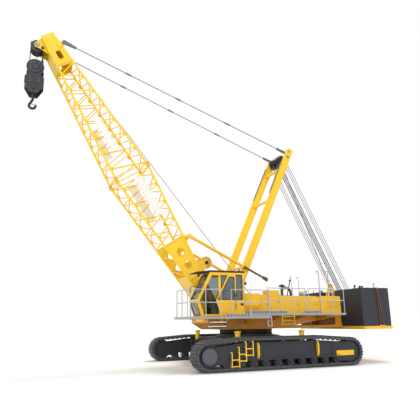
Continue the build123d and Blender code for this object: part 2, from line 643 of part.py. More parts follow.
for hand, hand_sign in (("l", 1), ("r", -1)):
    with BuildPart() as stack:
        slab((-REAR_REACH, -STACK_FRONT), sorted((hand_sign * STACK_GAP_HALF, hand_sign * STACK_HALF)),
             (TRAY_HIGH + SEAT, STACK_TOP))
        outer_edges = stack.edges().filter_by(Axis.Z).group_by(Axis.Y)[-1 if hand_sign > 0 else 0]
        fillet(outer_edges, STACK_CORNER)
        with BuildSketch(level(STACK_TOP)):
            with Locations((-(REAR_REACH + STACK_FRONT) / 2, hand_sign * (STACK_GAP_HALF + STACK_HALF) / 2)):
                Rectangle(LIFT_EYE_WIDTH, LIFT_EYE_THICK)
        extrude(amount=LIFT_EYE_HEIGHT)
        cross_pin(-(REAR_REACH + STACK_FRONT) / 2, STACK_TOP + LIFT_EYE_HEIGHT / 2, LIFT_EYE_BORE,
                  sorted((hand_sign * STACK_GAP_HALF, hand_sign * STACK_HALF)), mode=Mode.SUBTRACT)
    stack.part.label = f"counterweight_{hand}"
    export_step(stack.part, f"parts/counterweight_{hand}.step")

# ================================================================ decks and house
deck_inner = FRAME_HALF + SEAT
for hand, hand_sign in (("l", 1), ("r", -1)):
    with BuildPart() as deck:
        outer, inner = hand_sign * DECK_OUTER, hand_sign * deck_inner
        front_outer = hand_sign * (CAB_DECK_OUTER if hand == "l" else DECK_OUTER)
        deck_front = DECK_FRONT_X if hand == "l" else RIGHT_PANELS[0][1]
        slab((-DECK_REAR_X, DECK_STEP_X), sorted((inner, outer)), (DECK_REAR_TOP - DECK_THICK, DECK_REAR_TOP))
        slab((DECK_STEP_X, deck_front), sorted((inner, front_outer)), (DECK_FRONT_TOP - DECK_THICK, DECK_FRONT_TOP))
        slab((DECK_STEP_X - DECK_THICK, DECK_STEP_X), sorted((inner, outer)),
             (DECK_FRONT_TOP - DECK_THICK, DECK_REAR_TOP))
        for bracket_x in DECK_BRACKETS:
            root_z = (DECK_FRONT_TOP if bracket_x > DECK_STEP_X else DECK_REAR_TOP) - DECK_THICK
            with BuildSketch(across(bracket_x)):
                Polygon((inner, root_z), (inner, root_z - BRACKET_DROP),
                        (hand_sign * (DECK_OUTER - BRACKET_DROP / 2), root_z), align=None)
            extrude(amount=FRAME_PLATE / 2)
    deck.part.label = f"deck_{hand}"
    export_step(deck.part, f"parts/deck_{hand}.step")

    panels = LEFT_PANELS if hand == "l" else RIGHT_PANELS
    with BuildPart() as house:
        for panel, front_x, rear_x, outer_y, top_z in panels:
            foot_z = (DECK_FRONT_TOP if front_x > DECK_STEP_X else DECK_REAR_TOP) + SEAT
            slab((rear_x, front_x), sorted((hand_sign * PANEL_INNER_Y, hand_sign * outer_y)), (foot_z, top_z))
            slab((rear_x + PANEL_SHEET, front_x - PANEL_SHEET),
                 sorted((hand_sign * (PANEL_INNER_Y + PANEL_SHEET), hand_sign * (outer_y - PANEL_SHEET))),
                 (foot_z, top_z - PANEL_SHEET), mode=Mode.SUBTRACT)
    house.part.label = f"house_{hand}"
    export_step(house.part, f"parts/house_{hand}.step")

with BuildPart() as engine:
    slab(ENGINE_X, (-PANEL_INNER_Y - ENGINE_WIDTH, -PANEL_INNER_Y - 2 * PANEL_SHEET),
         (DECK_REAR_TOP + SEAT, ENGINE_TOP))
engine.part.label = "engine"
export_step(engine.part, "parts/engine.step")

# ================================================================ cab
def cab_outline(inset=0):
    """Side outline of the cab inside a BuildSketch, moved in by a wall."""
    Polygon((CAB_REAR + inset, CAB_FLOOR + inset), (CAB_REAR + inset, CAB_ROOF - inset),
            (CAB_TOP_FRONT - inset, CAB_ROOF - inset), (CAB_KNEE[0] - inset, CAB_KNEE[1]),
            (CAB_TOE_X - inset, CAB_FLOOR + inset), align=None)


def door_outline(back=0, grow=0):
    """Corners of the door, moved back along its rails and grown on every side."""
    return [(DOOR_REAR_X - back - grow, DOOR_TOE[1] - grow), (DOOR_REAR_X - back - grow, DOOR_TOP[1] + grow),
            (DOOR_TOP[0] - back + grow, DOOR_TOP[1] + grow), (DOOR_KNEE[0] - back + grow, DOOR_KNEE[1]),
            (DOOR_TOE[0] - back + grow, DOOR_TOE[1] - grow)]


def door_window(play=0):
    """Corners of the open door's window, smaller by a play all round."""
    rear_x, top_z = DOOR_REAR_X - DOOR_TRAVEL + DOOR_POST + play, DOOR_TOP[1] - DOOR_POST - play
    front_x = DOOR_KNEE[0] - DOOR_TRAVEL - DOOR_POST - DOOR_SLOPE_INSET - play
    return [(rear_x, SILL_Z + play), (rear_x, top_z), (DOOR_TOP[0] - DOOR_TRAVEL - DOOR_POST - play, top_z),
            (front_x, SILL_Z + play)]


def window_cutters(play=0):
    """Windows of the cab as solids through its walls, each smaller by a play all round."""
    near, far = CAB_INNER_Y + CAB_POST + play, CAB_OUTER_Y - CAB_POST - play
    front = [(SILL_Z + CAB_POST / 2 + play, CAB_ROOF - CAB_POST - play),
             (CAB_FLOOR + CAB_POST + play, SILL_Z - CAB_POST - play)]
    cutters = []
    for low, high in front:
        cutters.append(Pos(SLEW_X + CAB_KNEE[0], (near + far) / 2, (low + high) / 2)
                       * Box(2 * (CAB_KNEE[0] - CAB_TOP_FRONT) + 2 * CAB_POST, far - near, high - low))
    cutters.append(Pos(SLEW_X + CAB_REAR, (near + far) / 2, (SILL_Z + CAB_ROOF - CAB_POST) / 2)
                   * Box(4 * CAB_WALL, far - near, CAB_ROOF - CAB_POST - SILL_Z - 2 * play))
    low, high = SILL_Z + play, CAB_ROOF - CAB_POST - play
    rear, front = CAB_REAR + CAB_POST + play, DOOR_REAR_X - CAB_POST - play
    side_window = Polygon((rear, low), (front, low), (front, high), (rear, high), align=None)
    cutters.append(extrude(side(CAB_OUTER_Y + CAB_WALL) * side_window, amount=3 * CAB_WALL))
    inboard = Polygon((rear, low), (DOOR_KNEE[0] - CAB_POST - play, low), (DOOR_TOP[0] - CAB_POST - play, high),
                      (rear, high), align=None)
    cutters.append(extrude(side(CAB_INNER_Y + 2 * CAB_WALL) * inboard, amount=3 * CAB_WALL))
    return cutters


cab_windows = window_cutters()
cab_panes = window_cutters(SEAT)

with BuildPart() as cab_shell:
    with BuildSketch(side(CAB_OUTER_Y)):
        cab_outline()
    extrude(amount=CAB_OUTER_Y - CAB_INNER_Y)
    with BuildSketch(side(CAB_OUTER_Y - CAB_WALL)):
        cab_outline(CAB_WALL)
    extrude(amount=CAB_OUTER_Y - CAB_INNER_Y - 2 * CAB_WALL, mode=Mode.SUBTRACT)
    add(cab_windows, mode=Mode.SUBTRACT)
    with BuildSketch(side(CAB_OUTER_Y + CAB_WALL)):
        Polygon(*door_outline(grow=-DOOR_RAIL / 2), align=None)
    extrude(amount=3 * CAB_WALL, mode=Mode.SUBTRACT)
    # Rails above and below the sliding door
    rail_y = (CAB_OUTER_Y, CAB_OUTER_Y + DOOR_PLAY + DOOR_THICK)
    slab((DOOR_REAR_X - DOOR_TRAVEL, DOOR_TOP[0]), rail_y, (DOOR_TOP[1] + SEAT, DOOR_TOP[1] + DOOR_RAIL))
    slab((DOOR_REAR_X - DOOR_TRAVEL, DOOR_TOE[0]), rail_y, (DOOR_TOE[1] - DOOR_RAIL, DOOR_TOE[1] - SEAT))
    # Four feet on the deck
    for foot_x in (CAB_REAR + CAB_FOOT, CAB_TOE_X - 2 * CAB_FOOT):
        for foot_y in (CAB_INNER_Y + CAB_FOOT, CAB_OUTER_Y - CAB_FOOT):
            slab((foot_x - CAB_FOOT / 2, foot_x + CAB_FOOT / 2), (foot_y - CAB_FOOT / 2, foot_y + CAB_FOOT / 2),
                 (DECK_FRONT_TOP + SEAT, CAB_FLOOR + CAB_WALL))
cab_shell.part.label = "cab_shell"
export_step(cab_shell.part, "parts/cab_shell.step")

with BuildPart() as cab_glass:
    with BuildSketch(side(CAB_OUTER_Y - GLASS_INSET)):
        cab_outline(GLASS_INSET)
    extrude(amount=CAB_OUTER_Y - CAB_INNER_Y - 2 * GLASS_INSET)
    pane_back = GLASS_INSET + GLASS_THICK
    with BuildSketch(side(CAB_OUTER_Y - pane_back)):
        cab_outline(pane_back)
    extrude(amount=CAB_OUTER_Y - CAB_INNER_Y - 2 * pane_back, mode=Mode.SUBTRACT)
    add(cab_panes, mode=Mode.INTERSECT)
cab_glass.part.label = "cab_glass"
export_step(cab_glass.part, "parts/cab_glass.step")

with BuildPart() as cab_roof:
    with BuildSketch(side(CAB_OUTER_Y)):
        visor_x = CAB_TOP_FRONT + VISOR_REACH
        Polygon((CAB_REAR - ROOF_OVERHANG, CAB_ROOF + SEAT), (CAB_REAR - ROOF_OVERHANG, CAB_ROOF + ROOF_THICK),
                (CAB_TOP_FRONT, CAB_ROOF + ROOF_THICK), (visor_x, CAB_ROOF + VISOR_EDGE[0]),
                (visor_x, CAB_ROOF + VISOR_EDGE[1]), (CAB_TOP_FRONT + ROOF_OVERHANG / 2, CAB_ROOF + SEAT), align=None)
    extrude(amount=CAB_OUTER_Y - CAB_INNER_Y)
cab_roof.part.label = "cab_roof"
export_step(cab_roof.part, "parts/cab_roof.step")

cab_middle_y = (CAB_INNER_Y + CAB_OUTER_Y) / 2
cab_floor = CAB_FLOOR + CAB_WALL + SEAT
with BuildPart() as cab_seat:
    with BuildSketch(side(cab_middle_y + SEAT_HALF)):
        with BuildLine():
            Polyline(*[(SEAT_X + forward, cab_floor + up) for forward, up in SEAT_PROFILE], close=True)
        make_face()
        fillet(vertices(), SEAT_ROUND)
    extrude(amount=2 * SEAT_HALF)
    base_rear, base_front, base_half, base_top = SEAT_BASE
    slab((SEAT_X + base_rear, SEAT_X + base_front), (cab_middle_y - base_half, cab_middle_y + base_half),
         (cab_floor, cab_floor + base_top))
cab_seat.part.label = "cab_seat"
export_step(cab_seat.part, "parts/cab_seat.step")

with BuildPart() as cab_console:
    console_y = SEAT_HALF + CONSOLE_PLAY
    for low, high in ((CAB_INNER_Y + CAB_WALL + SEAT, cab_middle_y - console_y),
                      (cab_middle_y + console_y, cab_middle_y + console_y + CONSOLE_WIDTH)):
        with BuildSketch(side(high)):
            Polygon(*[(SEAT_X + forward, cab_floor + up) for forward, up in CONSOLE_PROFILE], align=None)
        extrude(amount=high - low)
cab_console.part.label = "cab_console"
export_step(cab_console.part, "parts/cab_console.step")

door_face = CAB_OUTER_Y + DOOR_PLAY + DOOR_THICK
with BuildPart() as cab_door:
    with BuildSketch(side(door_face)):
        Polygon(*door_outline(back=DOOR_TRAVEL), align=None)
        Polygon(*door_window(), align=None, mode=Mode.SUBTRACT)
    extrude(amount=DOOR_THICK)
cab_door.part.label = "cab_door"
export_step(cab_door.part, "parts/cab_door.step")

with BuildPart() as door_glass:
    with BuildSketch(side(door_face - GLASS_INSET)):
        Polygon(*door_window(SEAT), align=None)
    extrude(amount=GLASS_THICK)
door_glass.part.label = "door_glass"
export_step(door_glass.part, "parts/door_glass.step")

# ================================================================ handrails
def rail_hoop(start, end, deck_z, posts):
    """Hoop of rail between two (x, y) points, with a middle rail and posts in between."""
    (start_x, start_y), (end_x, end_y) = start, end
    top = deck_z + RAIL_HEIGHT
    foot = deck_z + SEAT
    tubes = [tube_run([(start_x, start_y, foot), (start_x, start_y, top), (end_x, end_y, top), (end_x, end_y, foot)],
                      RAIL_RADIUS),
             tube_run([(start_x, start_y, deck_z + RAIL_MIDDLE), (end_x, end_y, deck_z + RAIL_MIDDLE)], RAIL_RADIUS)]
    for post in range(1, posts + 1):
        share = post / (posts + 1)
        x, y = start_x + share * (end_x - start_x), start_y + share * (end_y - start_y)
        tubes.append(tube_run([(x, y, foot), (x, y, top)], RAIL_RADIUS))
    return tubes


rail_inset = 2 * RAIL_RADIUS
cab_rail_y = CAB_DECK_OUTER - rail_inset
house_rail_y = DECK_OUTER - rail_inset
front_rail_x = DECK_FRONT_X - rail_inset
left_rails = (
    rail_hoop((front_rail_x, CAB_INNER_Y), (front_rail_x, cab_rail_y), DECK_FRONT_TOP, 1)
    + rail_hoop((front_rail_x - 3 * rail_inset, cab_rail_y), (CAB_RAIL_GAP[0], cab_rail_y), DECK_FRONT_TOP, 1)
    + rail_hoop((CAB_RAIL_GAP[1], cab_rail_y), (DECK_STEP_X + rail_inset, cab_rail_y), DECK_FRONT_TOP, 1)
    + rail_hoop((DECK_STEP_X - 2 * rail_inset, house_rail_y), (HOUSE_RAIL_GAP[0], house_rail_y), DECK_REAR_TOP, 2)
    + rail_hoop((HOUSE_RAIL_GAP[1], house_rail_y), (rail_inset - DECK_REAR_X, house_rail_y), DECK_REAR_TOP, 2))
right_rails = (
    rail_hoop((RIGHT_PANELS[0][1] - rail_inset, -house_rail_y), (DECK_STEP_X + rail_inset, -house_rail_y),
              DECK_FRONT_TOP, 1)
    + rail_hoop((DECK_STEP_X - 2 * rail_inset, -house_rail_y), (HOUSE_RAIL_GAP[0], -house_rail_y), DECK_REAR_TOP, 2)
    + rail_hoop((HOUSE_RAIL_GAP[1], -house_rail_y), (rail_inset - DECK_REAR_X, -house_rail_y), DECK_REAR_TOP, 2))
for hand, rails in (("l", left_rails), ("r", right_rails)):
    with BuildPart() as handrails:
        add(rails)
    handrails.part.label = f"handrails_{hand}"
    export_step(handrails.part, f"parts/handrails_{hand}.step")

# ================================================================ boom
def boom_depth(s):
    """Depth between the chord middles at a distance from the foot."""
    if s <= BASE_LENGTH:
        return FOOT_DEPTH + (JOINT_DEPTH - FOOT_DEPTH) * s / BASE_LENGTH
    return JOINT_DEPTH + (HEAD_DEPTH - JOINT_DEPTH) * (s - BASE_LENGTH) / (BOOM_LENGTH - BASE_LENGTH)


def boom_width(s):
    """Width between the chord middles at a distance from the foot."""
    past_joint = max(s - BASE_LENGTH, 0) / (BOOM_LENGTH - BASE_LENGTH)
    return BOOM_WIDTH + (HEAD_WIDTH - BOOM_WIDTH) * past_joint


# The four chords, in order round the section: (left or right, back or under side)
CORNERS = ((1, 1), (1, -1), (-1, -1), (-1, 1))
LEFT, UNDER, RIGHT, BACK = range(4)        # the face after each corner


def chord_point(corner, s):
    """Middle of a chord at a distance from the foot."""
    across_sign, back_sign = CORNERS[corner % 4]
    return boom_side(across_sign * boom_width(s) / 2).from_local_coords(Vector(s, back_sign * boom_depth(s) / 2, 0))


def bar(start, end, radius, short=0):
    """Lattice tube between two points, ending short of both."""
    run = (end - start).normalized()
    start, end = start + run * short, end - run * short
    return extrude(Plane(start, z_dir=run) * RegularPolygon(radius, TUBE_SIDES), amount=(end - start).length)


def lacing(face, start, end, bays):
    """Zigzag of tubes on one face of the boom, two to a bay."""
    step = (end - start) / (2 * bays)
    toe = LACING_TOE * step
    tubes = []
    for index in range(2 * bays):
        low, high = start + index * step + toe, start + (index + 1) * step - toe
        from_corner, to_corner = (face, face + 1) if index % 2 == 0 else (face + 1, face)
        tubes.append(bar(chord_point(from_corner, low), chord_point(to_corner, high), LACING_RADIUS, LACING_CLEAR))
    return tubes


def section_frame(s):
    """Four tubes round the boom's section."""
    return [bar(chord_point(corner, s), chord_point(corner + 1, s), LACING_RADIUS, LACING_CLEAR)
            for corner in range(4)]


def boom_pin(s, t, radius, y, mode=Mode.ADD):
    """Cylinder across the boom between two widths."""
    with Locations(boom_side(sum(y) / 2) * Location((s, t, 0))):
        return Cylinder(radius, y[1] - y[0], mode=mode)


def boom_slab(s, t, y, mode=Mode.ADD):
    """Box in the boom's own directions between two distances, two heights and two widths."""
    with Locations(boom_side(sum(y) / 2) * Location((sum(s) / 2, sum(t) / 2, 0))):
        return Box(s[1] - s[0], t[1] - t[0], y[1] - y[0], mode=mode)


def joint_blocks(sense):
    """Thick chord ends at the joint of the two sections, before it or after it."""
    run = boom_side(0).x_dir * sense
    corners = [chord_point(corner, BASE_LENGTH) for corner in range(4)]
    return [bar(corner + run * SEAT / 2, corner + run * JOINT_BLOCK, JOINT_RADIUS) for corner in corners]


base_end, top_start = BASE_LENGTH - JOINT_BLOCK, BASE_LENGTH + JOINT_BLOCK
half_block = JOINT_BLOCK / 2
base_tubes = [bar(chord_point(corner, CHORD_START), chord_point(corner, base_end + half_block), CHORD_RADIUS)
              for corner in range(4)]
base_tubes += lacing(LEFT, BOX_TOP, base_end, BASE_BAYS) + lacing(RIGHT, BOX_TOP, base_end, BASE_BAYS)
base_tubes += lacing(UNDER, UNDER_PLATE[1], base_end, UNDER_BAYS) + lacing(BACK, BACK_PLATE[1], base_end, BASE_BAYS)
base_tubes += joint_blocks(-1)
base_tubes += section_frame(base_end)

with BuildPart() as boom_base:
    add(base_tubes)
    half = BOOM_WIDTH / 2
    for hand_sign in (1, -1):
        with BuildSketch(boom_side(hand_sign * half + BOOM_PLATE / 2)):
            Polygon((CHORD_START / 2, boom_depth(CHORD_START / 2) / 2), (BOX_TOP, boom_depth(BOX_TOP) / 2),
                    (BOX_TOP, -boom_depth(BOX_TOP) / 2), (CHORD_START / 2, -boom_depth(CHORD_START / 2) / 2), align=None)
            for hole_s, hole_radius in BOX_HOLES:
                with Locations((hole_s, 0)):
                    Circle(hole_radius, mode=Mode.SUBTRACT)
        extrude(amount=BOOM_PLATE)
        for hole_s, hole_radius in BOX_HOLES:
            with BuildSketch(boom_side(hand_sign * half + BOOM_PLATE / 2 + HOLE_RIM / 2)):
                with Locations((hole_s, 0)):
                    Circle(hole_radius + HOLE_RIM)
                    Circle(hole_radius, mode=Mode.SUBTRACT)
            extrude(amount=BOOM_PLATE + HOLE_RIM)
        # Foot: eye and the thick web behind it
        with BuildSketch(boom_side(hand_sign * half + FOOT_EYE_WIDTH / 2)):
            Circle(FOOT_EYE_RADIUS)
            Polygon((0, FOOT_EYE_RADIUS), (WEB_END, boom_depth(WEB_END) / 2), (WEB_END, -boom_depth(WEB_END) / 2),
                    (0, -FOOT_EYE_RADIUS), align=None)
            Circle(FOOT_PIN_RADIUS + PIN_PLAY, mode=Mode.SUBTRACT)
        extrude(amount=FOOT_EYE_WIDTH)
    for (low, high), back_sign in ((UNDER_PLATE, -1), (BACK_PLATE, 1)):
        with BuildSketch(boom_side(half)):
            thick = BOOM_PLATE / 2
            low_t, high_t = back_sign * boom_depth(low) / 2, back_sign * boom_depth(high) / 2
            Polygon((low, low_t - thick), (low, low_t + thick), (high, high_t + thick), (high, high_t - thick),
                    align=None)
        extrude(amount=BOOM_WIDTH)
    # Shaft of the backstops on two brackets behind the chords
    stop_s, stop_t = STOP_SHAFT
    boom_pin(stop_s, stop_t, STOP_SHAFT_RADIUS, (-STOP_Y - STOP_EYE_WIDTH / 2, STOP_Y + STOP_EYE_WIDTH / 2))
    for hand_sign in (1, -1):
        with BuildSketch(boom_side(hand_sign * half + BOOM_PLATE)):
            bracket_reach, bracket_half = STOP_BRACKET
            Polygon((stop_s - bracket_reach, boom_depth(stop_s) / 2), (stop_s - bracket_half, stop_t + bracket_half),
                    (stop_s + bracket_half, stop_t + bracket_half), (BOX_TOP, boom_depth(BOX_TOP) / 2), align=None)
        extrude(amount=2 * BOOM_PLATE)
    # Bearer of the auxiliary winch: two cross tubes and two plates
    drum_s, drum_t = AUX_DRUM
    for beam_s in (drum_s + AUX_BEAMS[0], drum_s + AUX_BEAMS[1]):
        boom_pin(beam_s, boom_depth(beam_s) / 2, CHORD_RADIUS, (-half, half))
    for hand_sign in (1, -1):
        plate_y = hand_sign * (AUX_SPAN / 2 + SIDE_PLAY + AUX_PLATE / 2)
        with BuildSketch(boom_side(plate_y + AUX_PLATE / 2)):
            root_t = boom_depth(drum_s) / 2 - AUX_PLATE_ROOT
            Polygon((drum_s + AUX_FOOT[0], root_t), (drum_s - AUX_PLATE_HALF, drum_t),
                    (drum_s + AUX_PLATE_HALF, drum_t), (drum_s + AUX_FOOT[1], root_t), align=None)
            with Locations((drum_s, drum_t)):
                Circle(AUX_PLATE_HALF)
                Circle(DRUM_SHAFT_RADIUS + PIN_PLAY, mode=Mode.SUBTRACT)
        extrude(amount=AUX_PLATE)
boom_base.part.label = "boom_base"
export_step(boom_base.part, "parts/boom_base.step")

with BuildPart() as aux_drum:
    boom_pin(drum_s, drum_t, AUX_DRUM_RADIUS, (-AUX_SPAN / 2, AUX_SPAN / 2))
    for hand_sign in (1, -1):
        flange = sorted((hand_sign * (AUX_SPAN / 2 - FLANGE_THICK), hand_sign * AUX_SPAN / 2))
        boom_pin(drum_s, drum_t, AUX_FLANGE_RADIUS, flange)
    boom_pin(drum_s, drum_t, DRUM_SHAFT_RADIUS, (-AUX_SPAN / 2 - AUX_SHAFT_REACH, AUX_SPAN / 2 + AUX_SHAFT_REACH))
aux_drum.part.label = "drum_aux"
export_step(aux_drum.part, "parts/drum_aux.step")

# Top section: lacing up to the plated head, joined to the base by pins at the four corners
top_tubes = [bar(chord_point(corner, top_start - half_block), chord_point(corner, BOOM_LENGTH), CHORD_RADIUS)
             for corner in range(4)]
for face in range(4):
    top_tubes += lacing(face, top_start, HEAD_BOX, TOP_BAYS)
top_tubes += joint_blocks(1)
top_tubes += section_frame(top_start)

inner_y = boom_width(BOOM_LENGTH) / 2
with BuildPart() as boom_top:
    add(top_tubes)
    for hand_sign in (1, -1):
        corners = [(HEAD_BOX, 1), (BOOM_LENGTH, 1), (BOOM_LENGTH, -1), (HEAD_BOX, -1)]
        with BuildSketch(boom_side(hand_sign * (boom_width(HEAD_BOX) + boom_width(BOOM_LENGTH)) / 4 + BOOM_PLATE)):
            Polygon(*[(s, back * boom_depth(s) / 2) for s, back in corners], align=None)
            slot_start, slot_span, slot_height = HEAD_SLOT
            with Locations((HEAD_BOX + slot_start, 0)):
                SlotCenterToCenter(slot_span, slot_height, mode=Mode.SUBTRACT)
        extrude(amount=2 * BOOM_PLATE)
    for back_sign, low, high in ((1, HEAD_BOX, BOOM_LENGTH), (-1, HEAD_BOX, BOOM_LENGTH - HEAD_UNDER_END)):
        with BuildSketch(boom_side(inner_y)):
            thick = BOOM_PLATE / 2
            low_t, high_t = back_sign * boom_depth(low) / 2, back_sign * boom_depth(high) / 2
            Polygon((low, low_t - thick), (low, low_t + thick), (high, high_t + thick), (high, high_t - thick),
                    align=None)
        extrude(amount=2 * inner_y)
    boom_slab((BOOM_LENGTH - BOOM_PLATE, BOOM_LENGTH), (-HEAD_DEPTH / 2, HEAD_DEPTH / 2), (-inner_y, inner_y))
    # Cheeks of the main sheave nest
    for hand_sign in (1, -1):
        cheek = hand_sign * NEST_HALF
        with BuildSketch(boom_side(max(cheek, cheek + hand_sign * CHEEK_PLATE))):
            root_t, low_t = -boom_depth(HEAD_SHEAVE_S) / 2 - CHEEK_ROOT_DROP, HEAD_SHEAVE_T - CHEEK_ROOT_DROP
            Polygon((HEAD_SHEAVE_S + CHEEK_ROOT[0], -HEAD_DEPTH / 4), (HEAD_SHEAVE_S + CHEEK_ROOT[1], root_t),
                    (HEAD_SHEAVE_S - CHEEK_HALF, low_t), (HEAD_SHEAVE_S + CHEEK_HALF, low_t),
                    (BOOM_LENGTH, -HEAD_DEPTH / 2), (BOOM_LENGTH, -HEAD_DEPTH / 4), align=None)
            with Locations((HEAD_SHEAVE_S, HEAD_SHEAVE_T)):
                Circle(CHEEK_END_RADIUS)
        extrude(amount=CHEEK_PLATE)
        # Ear for the pendant beside each side plate
        ear = hand_sign * (STAY_Y - STAY_EYE_WIDTH / 2 - SIDE_PLAY)
        ear_span = sorted((ear, hand_sign * (inner_y - CHORD_RADIUS / 2)))
        with BuildSketch(boom_side(ear_span[1])):
            pin_s, pin_t = STAY_PIN
            ear_radius, ear_foot, ear_root = STAY_EAR
            Polygon((pin_s - ear_foot, ear_root), (pin_s - ear_radius, pin_t), (pin_s + ear_radius, pin_t),
                    (pin_s + ear_foot, ear_root), align=None)
            with Locations(STAY_PIN):
                Circle(ear_radius)
        extrude(amount=ear_span[1] - ear_span[0])
        boom_pin(*STAY_PIN, STAY_PIN_RADIUS, sorted((ear, hand_sign * (STAY_Y + STAY_EYE_WIDTH / 2 + SIDE_PLAY))))
    boom_pin(HEAD_SHEAVE_S, HEAD_SHEAVE_T, HEAD_AXLE_RADIUS, (-NEST_HALF, NEST_HALF))
boom_top.part.label = "boom_top"
export_step(boom_top.part, "parts/boom_top.step")


def grooved_sheave(rim, rope_radius, lane, bore):
    """Sheave on a cross axle at the origin of the current locations, built outside any part."""
    body = Cylinder(rim, SHEAVE_WIDTH)
    body -= Cylinder(rim + 1, GROOVE_WIDTH) - Cylinder(rope_radius, GROOVE_WIDTH)
    body -= Cylinder(bore, SHEAVE_WIDTH)
    return Pos(0, 0, lane) * body


def sheave_row(plane, lanes, rim, rope_radius, bore):
    """Sheaves side by side on a hub tube; the plane's normal runs along the axle."""
    row = [plane.location * grooved_sheave(rim, rope_radius, lane, bore) for lane in lanes]
    hub_length = lanes[-1] - lanes[0]
    hub = Cylinder(bore + SHEAVE_HUB, hub_length) - Cylinder(bore, hub_length)
    row.append(plane.location * hub)
    return row


# ================================================================ boom head sheaves
head_axle = boom_side(0).from_local_coords(Vector(HEAD_SHEAVE_S, HEAD_SHEAVE_T, 0))
head_row = sheave_row(Plane(head_axle, x_dir=(1, 0, 0), z_dir=(0, -1, 0)), SHEAVE_LANES, HEAD_SHEAVE_RADIUS,
                      SHEAVE_ROPE_RADIUS, HEAD_AXLE_RADIUS + PIN_PLAY)
with BuildPart() as head_sheaves:
    add(head_row)
head_sheaves.part.label = "head_sheaves"
export_step(head_sheaves.part, "parts/head_sheaves.step")

# ================================================================ mast
def mast_side(y):
    """Plane with its origin at the mast's foot, x up the mast and y to its back."""
    return Plane((SLEW_X + MAST_FOOT[0], y, MAST_FOOT[1]),
                 x_dir=(cos(radians(MAST_ANGLE)), 0, sin(radians(MAST_ANGLE))), z_dir=(0, -1, 0))


def mast_pin(s, t, radius, y, mode=Mode.ADD):
    """Cylinder across the mast between two widths."""
    with Locations(mast_side(sum(y) / 2) * Location((s, t, 0))):
        return Cylinder(radius, y[1] - y[0], mode=mode)


leg_outer = MAST_LEG_Y + MAST_LEG_WIDTH / 2
leg_inner = MAST_LEG_Y - MAST_LEG_WIDTH / 2
tip_s = MAST_LENGTH - MAST_LEG_DEPTH / 2
with BuildPart() as mast:
    for hand_sign in (1, -1):
        with BuildSketch(mast_side(hand_sign * MAST_LEG_Y + MAST_EYE_WIDTH / 2)):
            Circle(MAST_EYE_RADIUS)
            Polygon((0, -MAST_EYE_RADIUS), (MAST_SHOULDER, -MAST_LEG_DEPTH / 2),
                    (MAST_SHOULDER, MAST_LEG_DEPTH / 2), (0, MAST_EYE_RADIUS), align=None)
            Circle(MAST_PIN_RADIUS + PIN_PLAY, mode=Mode.SUBTRACT)
        extrude(amount=MAST_EYE_WIDTH)
        with BuildSketch(mast_side(hand_sign * MAST_LEG_Y + MAST_LEG_WIDTH / 2)):
            Polygon((MAST_EYE_RADIUS * 2, -MAST_EYE_RADIUS), (MAST_SHOULDER, -MAST_LEG_DEPTH / 2),
                    (tip_s, -MAST_LEG_DEPTH / 2), (tip_s, MAST_LEG_DEPTH / 2),
                    (MAST_SHOULDER, MAST_LEG_DEPTH / 2), (MAST_EYE_RADIUS * 2, MAST_EYE_RADIUS), align=None)
            with Locations((tip_s, 0)):
                Circle(MAST_LEG_DEPTH / 2)
        extrude(amount=MAST_LEG_WIDTH)
        stay_far = STAY_MAST_Y - STAY_EYE_WIDTH / 2 - SIDE_PLAY
        mast_pin(*STAY_MAST_PIN, STAY_PIN_RADIUS, sorted((hand_sign * stay_far, hand_sign * leg_inner)))
    for tube_s, tube_radius in MAST_TUBES:
        mast_pin(tube_s, 0, tube_radius, (-leg_inner, leg_inner))
    mast_pin(MAST_SHEAVE_S, 0, MAST_AXLE_RADIUS, (-leg_inner, leg_inner))
mast.part.label = "mast"
export_step(mast.part, "parts/mast.step")

mast_axle = mast_side(0).from_local_coords(Vector(MAST_SHEAVE_S, 0, 0))
mast_row = sheave_row(Plane(mast_axle, x_dir=(1, 0, 0), z_dir=(0, -1, 0)), MAST_SHEAVE_LANES, MAST_SHEAVE_RADIUS,
                      MAST_SHEAVE_RADIUS - HEAD_SHEAVE_RADIUS + SHEAVE_ROPE_RADIUS, MAST_AXLE_RADIUS + PIN_PLAY)
with BuildPart() as mast_sheaves:
    add(mast_row)
mast_sheaves.part.label = "mast_sheaves"
export_step(mast_sheaves.part, "parts/mast_sheaves.step")

